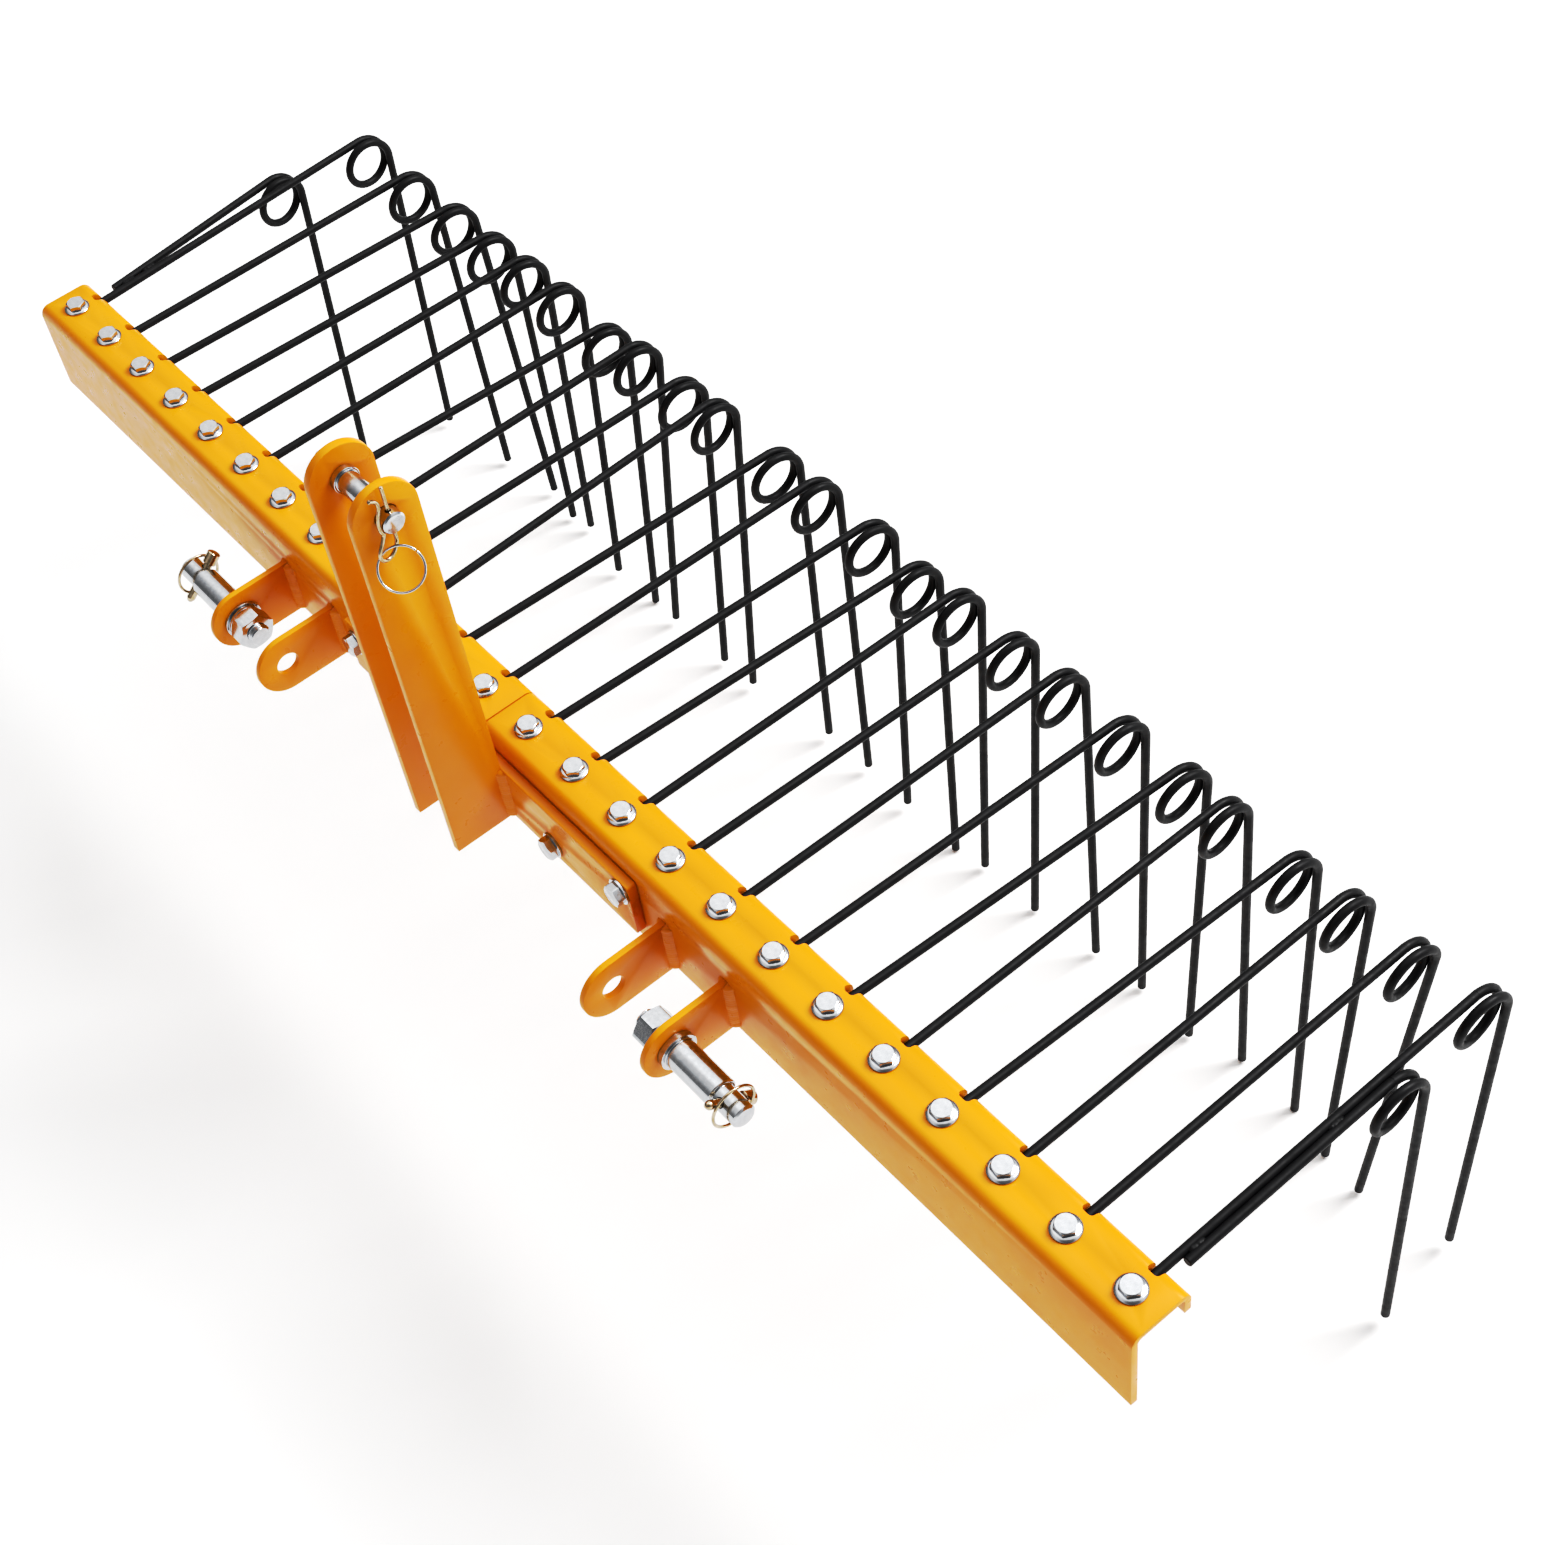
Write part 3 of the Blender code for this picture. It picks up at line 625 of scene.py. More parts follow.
def beam_section():
    """Web, top flange and rear lip as one formed sheet, seen along X."""
    inside = BEND_RADIUS - SHEET
    front = (BEND_RADIUS, -BEND_RADIUS)
    rear = (FLANGE_DEPTH - BEND_RADIUS, -BEND_RADIUS)
    outline = [(0.0, -WEB_HEIGHT)]
    outline += arc(front, BEND_RADIUS, 180, 90, 12)
    outline += arc(rear, BEND_RADIUS, 90, 0, 12)
    outline += [(FLANGE_DEPTH, -LIP_HEIGHT), (FLANGE_DEPTH - SHEET, -LIP_HEIGHT)]
    outline += arc(rear, inside, 0, 90, 8)
    outline += arc(front, inside, 90, 180, 8)
    outline.append((SHEET, -WEB_HEIGHT))
    return outline


def bolt_x(number):
    """Where tine 1 to 24 is bolted, counted from the left end."""
    return (number - (TINE_COUNT + 1) / 2) * TINE_PITCH


def notch_x(number):
    """The middle of a tine's notch, filed over where a turned arm would rub its side."""
    reach = FLANGE_DEPTH - BOLT_LINE
    arm = ARM_SIDE + sin(radians(TINE_YAW_DEG[number - 1])) * reach
    play = NOTCH_WIDTH / 2 - WIRE_RADIUS - NOTCH_CLEARANCE
    return bolt_x(number) + max(arm - play, min(arm + play, NOTCH_SIDE))


def notch(x):
    """The window in the rear bend that lets one tine's arm out, its front corners rounded."""
    half, corner = NOTCH_WIDTH / 2, NOTCH_CORNER
    front = FLANGE_DEPTH - NOTCH_DEPTH
    outline = arc((x - half + corner, front + corner), corner, 180, 270, 5)
    outline += arc((x + half - corner, front + corner), corner, 270, 360, 5)
    outline += [(x + half, FLANGE_DEPTH + CUT_PAST), (x - half, FLANGE_DEPTH + CUT_PAST)]
    return plate(outline, "Z", -NOTCH_BOTTOM, CUT_PAST)


def build_beam_half(side):
    """One half of the beam, notched and drilled. Side is 1 for the right half, -1 for the left."""
    name = "right" if side > 0 else "left"
    ends = sorted((side * (SEAM_GAP / 2 + SEAM_ROUND), side * BEAM_LENGTH / 2))
    through = SHEET + 0.004
    cutters = []
    for number in range(1, TINE_COUNT + 1):
        x = bolt_x(number)
        if x * side > 0:
            cutters.append(notch(notch_x(number)))
            start = (x, BOLT_LINE, 0)
            cutters.append(drill(start, (0, 0, -1), TINE_BOLT_RADIUS + HOLE_PLAY, through, 24))
    for x, z in SPLICE_BOLTS:
        if x * side > 0:
            cutters.append(drill((x, 0, z), (0, 1, 0), SPLICE_BOLT_RADIUS + HOLE_PLAY, through, 24))
    mesh = carved(plate(beam_section(), "X", *ends), cutters, 0.0006, 30)
    piece(f"beam_channel_{name}", mesh, "orange_paint", f"beam_{name}")


def build_lugs(side):
    """The two lower-link lugs of one half, with their welds."""
    name = "right" if side > 0 else "left"
    root = 0.0010
    bottom, top = LUG_PIN_Z - LUG_RADIUS, LUG_PIN_Z + LUG_RADIUS
    for label, at in (("inner", INNER_LUG_X), ("outer", OUTER_LUG_X)):
        low, high = sorted((side * at, side * (at + LUG_THICKNESS)))
        outline = [(root, top)]
        outline += arc((LUG_PIN_Y, LUG_PIN_Z), LUG_RADIUS, 90, 270, 40)
        outline.append((root, bottom))
        start = (low, LUG_PIN_Y, LUG_PIN_Z)
        hole = drill(start, (1, 0, 0), LUG_HOLE_RADIUS, LUG_THICKNESS + DRILL_LEAD)
        mesh = carved(plate(outline, "X", low, high), [hole])
        piece(f"lug_{label}_{name}", mesh, "orange_paint", f"beam_{name}")
        beads = []
        for x, out in ((low, -1), (high, 1)):
            ends = (x, 0, bottom + 0.0005), (x, 0, top - 0.0005)
            beads.append(weld(*ends, (out, 0, 0), (0, -1, 0), WELD_SIZE, seed=at * 10 + out))
        piece(f"lug_{label}_weld_{name}", gather(beads), "orange_paint", f"beam_{name}")


# Mast


def threads(start, end, radius, pitch=0.00175, depth=0.0009):
    """The profile of a thread between two distances along its axis."""
    profile = [(start, radius - depth)]
    count = max(2, int((end - start - 0.0004) / pitch))
    for k in range(count):
        base = start + pitch * k
        profile += [(base + 0.45 * pitch, radius), (base + 0.60 * pitch, radius)]
        profile.append((base + pitch, radius - depth))
    profile.append((end, radius - depth - 0.0003))
    return profile


def build_splice_bolt(x, z, number):
    """Head and washer on the plate, and nut and threads behind the web."""
    front = Matrix.Translation((x, PLATE_FACE, z)) @ Matrix.Rotation(radians(90), 4, "X")
    back = Matrix.Translation((x, SHEET + 0.0001, z)) @ Matrix.Rotation(radians(-90), 4, "X")
    turn = Matrix.Rotation(radians(17 + 41 * number), 4, "Z")
    rim = disc(0, SPLICE_WASHER_THICKNESS, SPLICE_WASHER_RADIUS, 0.0003)
    washer = turned((0, 0, -0.0001), (0, 0, 1), rim)
    head = hexagon(SPLICE_HEX, SPLICE_HEAD_HEIGHT, False, True)
    head = moved(head, Matrix.Translation((0, 0, SPLICE_WASHER_THICKNESS - 0.0001)) @ turn)
    nut = moved(hexagon(SPLICE_HEX, SPLICE_NUT_HEIGHT, True, True), turn)
    rod = [(-0.012, SPLICE_BOLT_RADIUS), (0.0095, SPLICE_BOLT_RADIUS)]
    shank = turned((0, 0, 0), (0, 0, 1), rod + threads(0.0095, 0.0200, SPLICE_BOLT_RADIUS))
    shapes = [moved(washer, front), moved(head, front), moved(nut, back), moved(shank, back)]
    piece(f"splice_bolt_{number}", gather(shapes), "bright_zinc", "mast_bracket")


def build_splice_plate():
    """The flat plate across the seam, drilled for the splice bolts."""
    corner = 0.002
    left = MAST_OFFSET - PLATE_HALF_LENGTH + corner
    right = MAST_OFFSET + PLATE_HALF_LENGTH - corner
    top, bottom = PLATE_TOP - corner, PLATE_BOTTOM + corner
    outline = arc((right, top), corner, 0, 90, 4) + arc((left, top), corner, 90, 180, 4)
    outline += arc((left, bottom), corner, 180, 270, 4) + arc((right, bottom), corner, 270, 360, 4)
    through = DRILL_LEAD - PLATE_FACE
    holes = [
        drill((x, PLATE_FACE, z), (0, 1, 0), SPLICE_BOLT_RADIUS + 0.0004, through, 24)
        for x, z in SPLICE_BOLTS
    ]
    mesh = carved(plate(outline, "Y", PLATE_FACE, -FIT_GAP), holes, 0.0008)
    piece("splice_plate", mesh, "orange_paint", "mast_bracket")


def build_mast_bar(label, x, hole_radius):
    """One upright flat bar with a round top, and its welds. Its left face is at x."""
    outline = [(PLATE_FACE + 0.0004, PLATE_BOTTOM)]
    outline += arc((CHEEK_MIDDLE, TOP_PIN_HEIGHT), CHEEK_WIDTH / 2, 0, 180, 48)
    outline.append((CHEEK_MIDDLE - CHEEK_WIDTH / 2, PLATE_BOTTOM))
    start = (x, CHEEK_MIDDLE, TOP_PIN_HEIGHT)
    hole = drill(start, (1, 0, 0), hole_radius, CHEEK_THICKNESS + DRILL_LEAD)
    mesh = carved(plate(outline, "X", x, x + CHEEK_THICKNESS), [hole], 0.0009)
    piece(f"mast_bar_{label}", mesh, "orange_paint", "mast_bracket")
    beads = []
    for at, out in ((x, -1), (x + CHEEK_THICKNESS, 1)):
        ends = (at, PLATE_FACE, PLATE_BOTTOM + 0.0005), (at, PLATE_FACE, PLATE_TOP - 0.0005)
        beads.append(weld(*ends, (out, 0, 0), (0, -1, 0), WELD_SIZE, seed=x * 30 + out))
    piece(f"mast_weld_{label}", gather(beads), "orange_paint", "mast_bracket")


def build_mast():
    """Splice plate, the two flat bars with their welds, and the splice bolts."""
    build_splice_plate()
    build_mast_bar("left", MAST_OFFSET - MAST_GAP / 2 - CHEEK_THICKNESS, TOP_SHANK_RADIUS + 0.0005)
    build_mast_bar("right", MAST_OFFSET + MAST_GAP / 2, TOP_PIN_RADIUS + 0.0004)
    for number, (x, z) in enumerate(SPLICE_BOLTS, 1):
        build_splice_bolt(x, z, number)


def build_top_pin():
    """Shouldered pin, nutted to the left bar, with a cross hole in its right end."""
    shoulder = MAST_OFFSET - MAST_GAP / 2 + FIT_GAP
    collar = shoulder + COLLAR_THICKNESS
    bar_out = shoulder - CHEEK_THICKNESS - 2 * FIT_GAP
    body = [(bar_out - 0.019, 0.0062), (bar_out - 0.0183, 0.0070)]
    body += threads(bar_out - 0.0178, bar_out - 0.0142, TOP_SHANK_RADIUS)[:-1]
    body += [(bar_out - 0.0142, 0.0078), (shoulder, TOP_SHANK_RADIUS)]
    body += disc(shoulder, collar, TOP_COLLAR_RADIUS)
    body += [(collar, TOP_PIN_RADIUS + 0.0004), (collar + 0.0004, TOP_PIN_RADIUS)]
    body += [(TOP_PIN_END - 0.0016, TOP_PIN_RADIUS)]
    body += [(TOP_PIN_END - 0.0003, TOP_PIN_RADIUS - 0.0013)]
    body += [(TOP_PIN_END, TOP_PIN_RADIUS - 0.0018)]
    middle = (CLIP_X, CHEEK_MIDDLE, TOP_PIN_HEIGHT)
    hole = cross_hole(middle, (0, 0, 1), CLIP_WIRE_RADIUS + 0.0008, 32)
    mesh = carved(turned((0, CHEEK_MIDDLE, TOP_PIN_HEIGHT), (1, 0, 0), body), [hole], 0)
    piece("top_link_pin", mesh, "bright_zinc", "top_link_pin")
    nut = hexagon(TOP_NUT_HEX, TOP_NUT_HEIGHT, True, True)
    at = Matrix.Translation((bar_out, CHEEK_MIDDLE, TOP_PIN_HEIGHT))
    turn = Matrix.Rotation(radians(-90), 4, "Y") @ Matrix.Rotation(radians(12), 4, "Z")
    piece("top_pin_nut", moved(nut, at @ turn), "bright_zinc", "top_link_pin")


def build_clip():
    """Hairpin clip: straight leg through the pin, eye, and sprung leg round the pin."""
    straight_leg = [(0.0, z) for z in (0.033, 0.018, 0.0, -0.012, -0.019)]
    eye = [(-0.0017, -0.0245), (-0.006, -0.029), (-0.0115, -0.0305), (-0.0165, -0.0285)]
    eye += [(-0.0188, -0.024), (-0.0178, -0.019), (-0.0135, -0.013)]
    sprung_leg = [(-0.0100, -0.007), (-0.0112, -0.004), (-0.0119, 0.0005), (-0.0117, 0.006)]
    sprung_leg += [(-0.0100, 0.012), (-0.0075, 0.018), (-0.0078, 0.023), (-0.0105, 0.027)]
    sprung_leg += [(-0.0145, 0.030)]
    turn = radians(CLIP_TURN_DEG)
    points = [
        (CLIP_X - u * sin(turn), CHEEK_MIDDLE + u * cos(turn), TOP_PIN_HEIGHT + z)
        for u, z in straight_leg + eye + sprung_leg
    ]
    shape = wire(smooth_path(points, 6), CLIP_WIRE_RADIUS, 16, (0.0005, 0.0005))
    piece("hairpin_clip", shape, "yellow_zinc", "hairpin_clip", "hairpin_clip")


def build_clip_ring():
    """The split ring on the clip's eye, its ends a little apart."""
    centre = Vector(RING_CENTRE)
    side, up = across(Vector(RING_NORMAL).normalized())
    to_pivot = Vector(RING_PIVOT) - centre
    start = pi - atan2(to_pivot.dot(up), to_pivot.dot(side))
    steps, gap = 120, 0.02
    path = []
    for k in range(steps + 1):
        a = start + gap + (2 * pi - 2 * gap) * k / steps
        path.append(centre + RING_RADIUS * (cos(a) * side + sin(a) * up))
    shape = wire(path, RING_WIRE_RADIUS, 14, (0.0003, 0.0003))
    piece("hairpin_ring", shape, "bright_zinc", "hairpin_ring", "hairpin_ring")


# Lower-link pins


def linch_direction(side):
    """The way a linch pin points, from its tip at the front to its head at the rear."""
    tilt = radians(LINCH_TILT_DEG[side])
    return Vector((0, cos(tilt), sin(tilt)))


def hitch_pin_profile(face_in, face_out):
    """Threaded end, shank through the lug, collar, body and stepped-down end, along X."""
    shank = LUG_HOLE_RADIUS - 0.0004
    collar = face_out + COLLAR_THICKNESS
    body = [(face_in - 0.0318, shank - 0.0018), (face_in - 0.0308, shank - 0.0010)]
    body += threads(face_in - 0.0305, face_in - 0.0245, shank, 0.0020, 0.0011)[:-1]
    body += [(face_in - 0.0244, shank), (face_out, shank)]
    body += disc(face_out, collar, HITCH_COLLAR_RADIUS)
    body += [(collar, HITCH_PIN_RADIUS + 0.0005), (collar + 0.0005, HITCH_PIN_RADIUS)]
    body += [(HITCH_STEP_X - 0.0013, HITCH_PIN_RADIUS)]
    body += [(HITCH_STEP_X - 0.0002, HITCH_PIN_RADIUS - 0.0011)]
    body += [(HITCH_STEP_X, HITCH_PIN_RADIUS - 0.0016), (HITCH_STEP_X, HITCH_END_RADIUS + 0.0004)]
    body += [(HITCH_STEP_X + 0.0004, HITCH_END_RADIUS), (HITCH_END_X - 0.0022, HITCH_END_RADIUS)]
    body += [(HITCH_END_X - 0.0003, HITCH_END_RADIUS - 0.0019)]
    body += [(HITCH_END_X, HITCH_END_RADIUS - 0.0026)]
    return body


def build_hitch_pin(side):
    """Shouldered pin through the outer lug, with its washers and nut inside."""
    name = "right" if side > 0 else "left"
    node = f"hitch_pin_{name}"
    at = Vector((0, LUG_PIN_Y, LUG_PIN_Z))
    face_in = OUTER_LUG_X - FIT_GAP
    face_out = OUTER_LUG_X + LUG_THICKNESS + FIT_GAP
    across_pin = at + Vector((side * LINCH_X, 0, 0))
    hole = cross_hole(across_pin, linch_direction(name), LINCH_RADIUS + HOLE_PLAY, 40)
    mesh = carved(turned(at, (side, 0, 0), hitch_pin_profile(face_in, face_out)), [hole], 0)
    piece(node, mesh, "bright_zinc", node)
    start = at + Vector((side * face_in, 0, 0))
    flat = [(0.0001, 0.0181), (0.0004, 0.0185), (0.0026, 0.0185), (0.0030, 0.0181)]
    spring = [(0.0031, 0.0160), (0.0035, 0.0165), (0.0066, 0.0165), (0.0070, 0.0160)]
    shapes = [turned(start, (-side, 0, 0), flat), turned(start, (-side, 0, 0), spring)]
    piece(f"hitch_washers_{name}", gather(shapes), "bright_zinc", node)
    place = Matrix.Translation(at + Vector((side * (face_in - 0.0071), 0, 0)))
    turn = Matrix.Rotation(radians(-90 * side), 4, "Y") @ Matrix.Rotation(radians(8), 4, "Z")
    nut = moved(hexagon(HITCH_NUT_HEX, HITCH_NUT_HEIGHT, True, True), place @ turn)
    piece(f"hitch_nut_{name}", nut, "bright_zinc", node)


def build_linch_pin(name):
    """Short pin with a thicker head, and the sprung ring that snaps round the hitch pin."""
    out = 1 if name == "right" else -1
    way = linch_direction(name)
    lengthways = Vector((1, 0, 0))
    axis = Vector((out * LINCH_X, LUG_PIN_Y, LUG_PIN_Z))
    body = [(-0.0262, 0.0014), (-0.0257, 0.0022), (-0.0232, 0.0038), (-0.0222, LINCH_RADIUS)]
    body += [(0.0146, LINCH_RADIUS), (0.0150, 0.0046), (0.0152, 0.0057), (0.0157, 0.0062)]
    body += [(0.0262, 0.0062), (0.0271, 0.0055), (0.0275, 0.0044)]
    centre = axis + Vector((out * 0.0058, 0, 0))
    side = lengthways.cross(way)
    steps = 96
    rings = []
    for k in range(steps):
        a = 2 * pi * k / steps
        point = cos(a) * side + sin(a) * way
        spot = centre + LINCH_RING_RADIUS * point
        rings.append(circle(spot, point, lengthways, LINCH_WIRE_RADIUS, 14))
    shape = gather([turned(axis, way, body, 40), skin(rings, round_trip=True)])
    node = f"linch_pin_{name}"
    piece(node, shape, "yellow_zinc", node, node)


# Tines


def eased(u, power=14):
    """Runs evenly from 0 to 1 and comes to rest at the end."""
    return (u - u**power / power) / (1 - 1 / power)


def smoothstep(t):
    t = max(0.0, min(1.0, t))
    return t * t * (3 - 2 * t)


def arm_height(drop, y):
    """Height of an arm's centreline against its eye's, this far behind the bolt."""
    return -drop * max(0.0, y - ARM_STRAIGHT) / (ARM_LENGTH - ARM_STRAIGHT)


def arm_shape(drop):
    """Eye under the flange and the straight arm, from the bolt's axis."""
    turns = [radians(a) for a in range(120, 361, 8)]
    flat = [(EYE_RADIUS * cos(a), EYE_RADIUS * sin(a)) for a in turns]
    near, far = (EYE_RADIUS, 0.008, 0), (ARM_SIDE, 0.010, 0)
    lead = bezier((EYE_RADIUS, 0, 0), near, far, (ARM_SIDE, 0.025, 0), 12)
    flat += [(x, y) for x, y, _ in lead]
    flat += [(ARM_SIDE, y) for y in (0.034, 0.045, 0.1, 0.16, 0.22, 0.28, 0.33, ARM_LENGTH)]
    return wire([(x, y, arm_height(drop, y)) for x, y in flat], WIRE_RADIUS, dress=(0.0006, 0.0))


def coil_path(side, reach, drop, splay_deg, lean_deg):
    """The coil from the arm's end to where the leg starts, eased over to the leg's splay."""
    end = 360 + LEG_START_DEG - lean_deg
    steps = 56
    centre = Vector((side, reach, drop - COIL_RADIUS))
    pivot = centre + Vector((COIL_ADVANCE, 0, 0))
    points = []
    for k in range(steps + 1):
        turn = end * k / steps
        advance = COIL_ADVANCE * eased(k / steps)
        a = radians(turn)
        point = centre + Vector((advance, COIL_RADIUS * sin(a), COIL_RADIUS * cos(a)))
        over = smoothstep((turn - end + 110) / 110)
        splay = Matrix.Rotation(-radians(splay_deg) * over, 4, "Y")
        points.append(pivot + splay @ (point - pivot))
    return points


def leg_shape():
    """The last of the coil and the leg, from the coil's centre, its tip sheared off square."""
    turns = [radians(LEG_START_DEG + 2 * k) for k in range(5)]
    points = [(0, COIL_RADIUS * sin(a), COIL_RADIUS * cos(a)) for a in turns]
    points += [(0, COIL_RADIUS, -LEG_LENGTH * k / 12) for k in range(1, 13)]
    return wire(points, WIRE_RADIUS, dress=(0.0, 0.0013))


def leg_place(arm_place, side, reach, drop, splay_deg, set_deg):
    """Where a leg hangs: its origin is on the coil's axis, which is its hinge."""
    centre = Vector((side + COIL_ADVANCE, reach, drop - COIL_RADIUS))
    splay = Matrix.Rotation(-radians(splay_deg), 4, "Y")
    lean = Matrix.Rotation(radians(LEG_LEAN_DEG + set_deg), 4, "X")
    return arm_place @ Matrix.Translation(centre) @ splay @ lean


def build_coil_and_leg(label, arm_node, leg_node, place, at, splay_deg, set_deg, leg_mesh):
    """The coil, bent between the arm and the leg, and the leg. At is (side, reach, drop)."""
    path = coil_path(*at, splay_deg, LEG_LEAN_DEG + set_deg)
    shape = wire(path, WIRE_RADIUS)
    coil = piece(f"coil_{label}", shape, "black_spring_steel", arm_node, None, place)
    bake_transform(coil)
    spot = leg_place(place, *at, splay_deg, set_deg)
    piece(f"leg_{label}", leg_mesh, "black_spring_steel", leg_node, leg_node, spot)


def tine_bolt_shape():
    """Flanged hex head on the beam, with its shank and threaded end."""
    top = WIRE_RADIUS + FIT_GAP + SHEET + FIT_GAP
    flange = [(0.0, 0.0118), (0.0003, 0.0122), (0.0011, 0.0123), (0.0016, 0.0119), (0.0026, 0.0098)]
    head = hexagon(TINE_HEAD_HEX, TINE_HEAD_HEIGHT, False, True)
    shank = [(-top - 0.001, TINE_BOLT_RADIUS), (0.0124, TINE_BOLT_RADIUS)]
    thread = threads(0.0, 0.0042, TINE_BOLT_RADIUS, 0.0013, 0.0007)
    shank += [(d + 0.0125, r) for d, r in thread]
    return gather(
        [
            turned((0, 0, top - 0.0002), (0, 0, 1), flange, 48),
            moved(head, Matrix.Translation((0, 0, top + 0.0014))),
            turned((0, 0, 0), (0, 0, -1), shank, 32),
        ]
    )


def tine_nut_shape():
    """The nut under a tine's eye."""
    nut = hexagon(TINE_NUT_HEX, TINE_NUT_HEIGHT, True, True)
    return moved(nut, Matrix.Translation((0, 0, -WIRE_RADIUS)) @ Matrix.Rotation(pi, 4, "X"))


def short_place(setting):
    """Where a short tine's arm starts, against its long tine's bolt."""
    yaw = Matrix.Rotation(-radians(setting[1]), 4, "Z")
    return Matrix.Translation((ARM_SIDE + setting[0], SHORT_START, 0)) @ yaw


def short_arm_shape(drop):
    """A short outer tine's straight arm."""
    reaches = [SHORT_REACH * k / 8 for k in range(9)]
    points = [(0, y, arm_height(drop, SHORT_START + y)) for y in reaches]
    return wire(points, WIRE_RADIUS, dress=(0.0006, 0.0))


def lump(centre, size, seed):
    """A rounded weld bead laid in the valley between two wires, along Y."""
    rings = []
    count, sides = 22, 16
    for k in range(count + 1):
        u = -1 + 2 * k / count
        girth = max(0.06, sqrt(max(0.0, 1 - u**4)))
        ring = []
        for j in range(sides):
            a = 2 * pi * j / sides
            rough = 1 + 0.12 * noise.noise(Vector((u * 3.2, cos(a) * 1.6 + seed, sin(a) * 1.6)))
            rough *= 1 + 0.07 * abs(sin(pi * (u * 2.6 + 0.3 * cos(a) ** 2)))
            spot = Vector((size[0] * cos(a), 0, size[2] * sin(a))) * girth * rough
            ring.append(Vector(centre) + spot + Vector((0, size[1] * u, 0)))
        rings.append(ring)
    return skin(rings)


def build_short_tine(label, number, place, setting, drop, leg_mesh):
    """The short outer tine, welded to the long tine beside it."""
    arm_node = f"tine_arm_{number:02d}"
    spot = place @ short_place(setting)
    piece(f"arm_outer_{label}", short_arm_shape(drop), "black_spring_steel", arm_node, place=spot)
    at = (0.0, SHORT_REACH, arm_height(drop, SHORT_START + SHORT_REACH))
    build_coil_and_leg(
        f"outer_{label}", arm_node, f"outer_leg_{label}", spot, at, setting[2], setting[3], leg_mesh
    )
    beads = []
    for y in (0.060, 0.200) if setting[0] > 0 else (0.062, 0.088):
        between = ARM_SIDE + setting[0] / 2 + sin(radians(setting[1])) * (y - SHORT_START) / 2
        beads.append(lump((between, y, arm_height(drop, y)), (0.0036, 0.0085, 0.0036), y * 40))
    piece(f"outer_weld_{label}", gather(beads), "black_spring_steel", arm_node, place=place)


def build_tine(number, leg_mesh, bolt_mesh, nut_mesh):
    """One long tine with its bolt and nut."""
    label = f"{number:02d}"
    arm_node = f"tine_arm_{label}"
    yaw = Matrix.Rotation(-radians(TINE_YAW_DEG[number - 1]), 4, "Z")
    height = -(SHEET + FIT_GAP + WIRE_RADIUS)
    upright = Matrix.Translation((bolt_x(number), BOLT_LINE, height))
    place = upright @ yaw
    drop = ARM_DROP_MM[number - 1] / 1000
    piece(f"arm_{label}", arm_shape(drop), "black_spring_steel", arm_node, place=place)
    at = (ARM_SIDE, ARM_LENGTH, -drop)
    splay, set_over = LEG_SPLAY_DEG[number - 1], LEG_SET_DEG[number - 1]
    build_coil_and_leg(label, arm_node, f"tine_leg_{label}", place, at, splay, set_over, leg_mesh)
    turn = Matrix.Rotation(radians(TINE_BOLT_TURN_DEG + number * 37 % 14), 4, "Z")
    piece(f"tine_bolt_{label}", bolt_mesh, "bright_zinc", arm_node, place=upright @ turn)
    turn = Matrix.Rotation(radians(number * 23 % 60), 4, "Z")
    piece(f"tine_nut_{label}", nut_mesh, "bright_zinc", arm_node, place=upright @ turn)
    if number == 1:
        build_short_tine("left", number, place, SHORT_LEFT, drop, leg_mesh)
    elif number == TINE_COUNT:
        build_short_tine("right", number, place, SHORT_RIGHT, drop, leg_mesh)


def build_tines():
    """All the tines, which share their legs', bolts' and nuts' meshes."""
    leg_mesh = closed_mesh("leg", *leg_shape())
    bolt_mesh = closed_mesh("tine_bolt", *tine_bolt_shape(), 28)
    nut_mesh = closed_mesh("tine_nut", *tine_nut_shape(), 28)
    for number in range(1, TINE_COUNT + 1):
        build_tine(number, leg_mesh, bolt_mesh, nut_mesh)


# Studio


def build_floor():
    """A plain pale floor that meets the tine tips."""
    size = FLOOR_SIZE
    mesh = bpy.data.meshes.new("floor")
    corners = [(-size, -size, 0), (size, -size, 0), (size, size, 0), (-size, size, 0)]
    mesh.from_pydata(corners, [], [(0, 1, 2, 3)])
    material, shader = principled("floor_white", (0.96, 0.96, 0.96), 0.0, 0.9, 0.1)
    tone = object_noise(material, 1.5, 2.0)
    pale = [(0.3, (0.95,) * 3), (0.7, (0.97,) * 3)]
    link(material, ramp(material, tone, pale), shader, "Base Color")
    mesh.materials.append(material)
    floor = bpy.data.objects.new("floor", mesh)
    bpy.context.scene.collection.objects.link(floor)
    floor.location = (0, 0, CAD_BOX[0][2] - 0.0005)


def area_light(name, place, target, size, power):
    """A rectangular lamp that faces its target."""
    light = bpy.data.lights.new(name, "AREA")
    light.shape = "RECTANGLE"
    light.size, light.size_y = size
    light.energy = power
    lamp = bpy.data.objects.new(name, light)
    bpy.context.scene.collection.objects.link(lamp)
    lamp.location = place
    lamp.rotation_euler = (Vector(target) - Vector(place)).to_track_quat("-Z", "Y").to_euler()


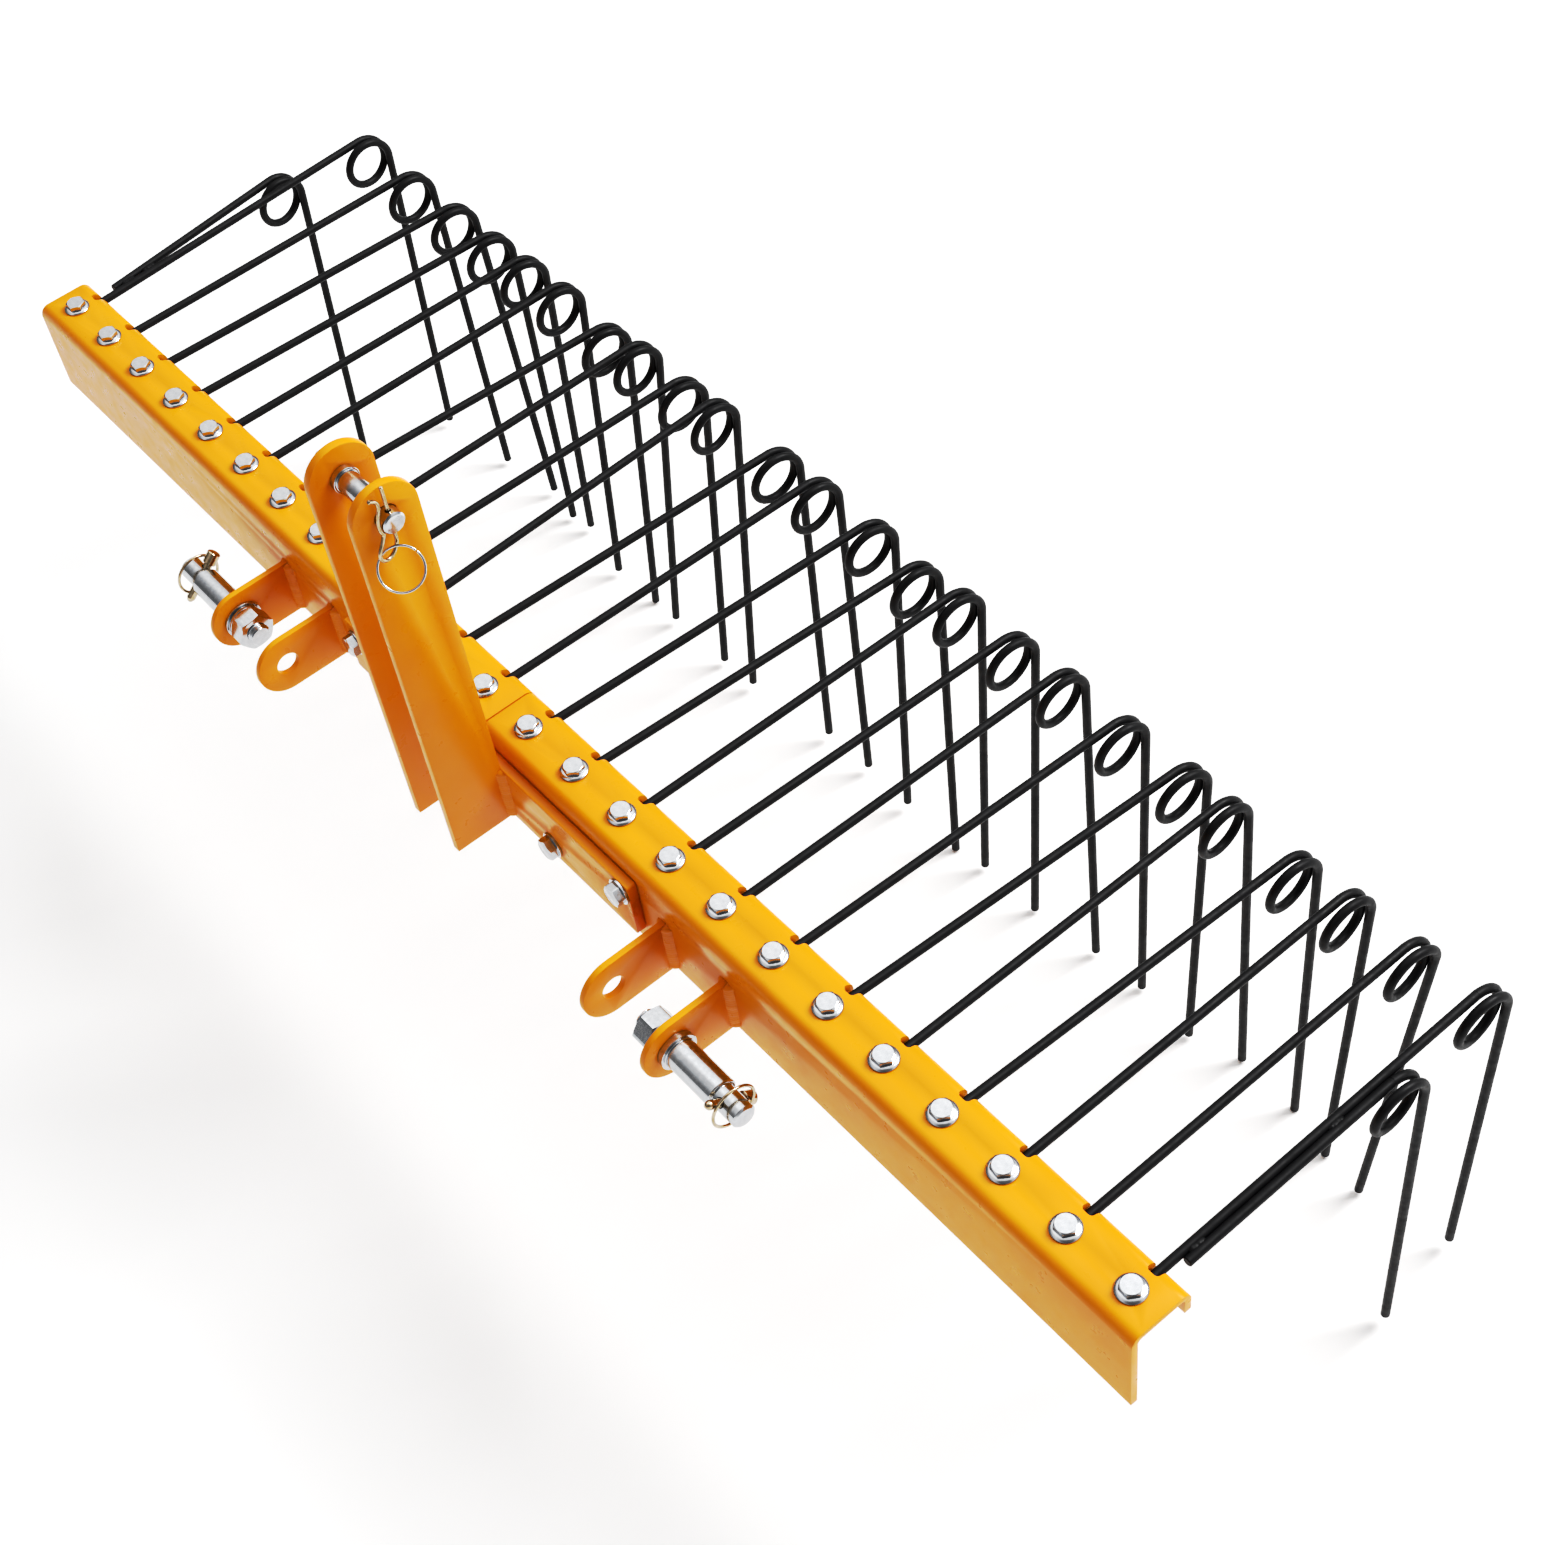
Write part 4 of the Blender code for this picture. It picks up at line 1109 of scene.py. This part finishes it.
def facing(tree, direction, way, near, levels):
    """Light levels by how nearly a direction faces the given way, as a cosine."""
    cosine = tree.nodes.new("ShaderNodeVectorMath")
    cosine.operation = "DOT_PRODUCT"
    tree.links.new(direction, cosine.inputs[0])
    cosine.inputs[1].default_value = way
    spread_out = tree.nodes.new("ShaderNodeMapRange")
    for socket, value in zip(("From Min", "From Max", "To Min", "To Max"), near + levels):
        spread_out.inputs[socket].default_value = value
    tree.links.new(cosine.outputs["Value"], spread_out.inputs["Value"])
    return spread_out.outputs["Result"]


def build_lights():
    """A soft sky, brighter upwards and to the right, and one wide lamp behind the rake."""
    world = bpy.data.worlds.new("studio")
    bpy.context.scene.world = world
    world.use_nodes = True
    tree = world.node_tree
    direction = tree.nodes.new("ShaderNodeTexCoord").outputs["Generated"]
    split = tree.nodes.new("ShaderNodeSeparateXYZ")
    tree.links.new(direction, split.inputs["Vector"])
    colours = tree.nodes.new("ShaderNodeValToRGB")
    tree.links.new(split.outputs["Z"], colours.inputs["Fac"])
    elements = colours.color_ramp.elements
    while len(elements) < len(SKY_STOPS):
        elements.new(0.5)
    for element, (position, level) in zip(elements, SKY_STOPS):
        element.position = position
        element.color = (level, level, level, 1.0)
    tree.links.new(colours.outputs["Color"], tree.nodes["Background"].inputs["Color"])
    dark = facing(tree, direction, DARK_SIDE, (0.68, 0.93), (1.0, 0.15))
    right = facing(tree, direction, (1, 0, 0), (-1.0, 1.0), (0.5, 1.7))
    softbox = facing(tree, direction, SOFTBOX_SIDE, (0.80, 0.96), (0.0, 0.8))
    both = tree.nodes.new("ShaderNodeMath")
    both.operation = "MULTIPLY"
    tree.links.new(dark, both.inputs[0])
    tree.links.new(right, both.inputs[1])
    total = tree.nodes.new("ShaderNodeMath")
    total.operation = "ADD"
    tree.links.new(both.outputs["Value"], total.inputs[0])
    tree.links.new(softbox, total.inputs[1])
    tree.links.new(total.outputs["Value"], tree.nodes["Background"].inputs["Strength"])
    area_light("key_rear", KEY_PLACE, KEY_TARGET, KEY_SIZE, KEY_POWER)


def build_camera():
    """Above the tractor's side, looking back over the rake's right end."""
    azimuth, elevation, roll = (radians(turn) for turn in CAMERA_TURN_DEG)
    level = cos(elevation)
    back = Vector((sin(azimuth) * level, -cos(azimuth) * level, sin(elevation)))
    forward = -back
    right = forward.cross(Vector((0, 0, 1))).normalized()
    down = forward.cross(right)
    level_right = cos(roll) * right + sin(roll) * down
    level_down = -sin(roll) * right + cos(roll) * down
    camera = bpy.data.cameras.new("camera")
    camera.lens = CAMERA_LENS
    camera.sensor_width = CAMERA_SENSOR
    viewer = bpy.data.objects.new("camera", camera)
    bpy.context.scene.collection.objects.link(viewer)
    turn = Matrix((level_right, -level_down, back)).transposed().to_4x4()
    viewer.matrix_world = Matrix.Translation(DATUM + Vector(CAMERA_FROM_DATUM)) @ turn
    bpy.context.scene.camera = viewer


def set_film():
    """A contrasty tone curve: deep shadows, rolled highlights, and the floor just white."""
    view = bpy.context.scene.view_settings
    view.view_transform = "Standard"
    view.look = "None"
    view.use_curve_mapping = True
    film = view.curve_mapping
    film.white_level = (FILM_WHITE,) * 3
    points = film.curves[3].points
    points[0].location = FILM_CURVE[0]
    points[1].location = FILM_CURVE[-1]
    for place in FILM_CURVE[1:-1]:
        points.new(*place)
    film.update()


def main():
    for side in (-1, 1):
        build_beam_half(side)
        build_lugs(side)
        build_hitch_pin(side)
    build_mast()
    build_top_pin()
    build_clip()
    build_clip_ring()
    for name in ("left", "right"):
        build_linch_pin(name)
    build_tines()
    build_floor()
    build_lights()
    build_camera()
    set_film()


main()
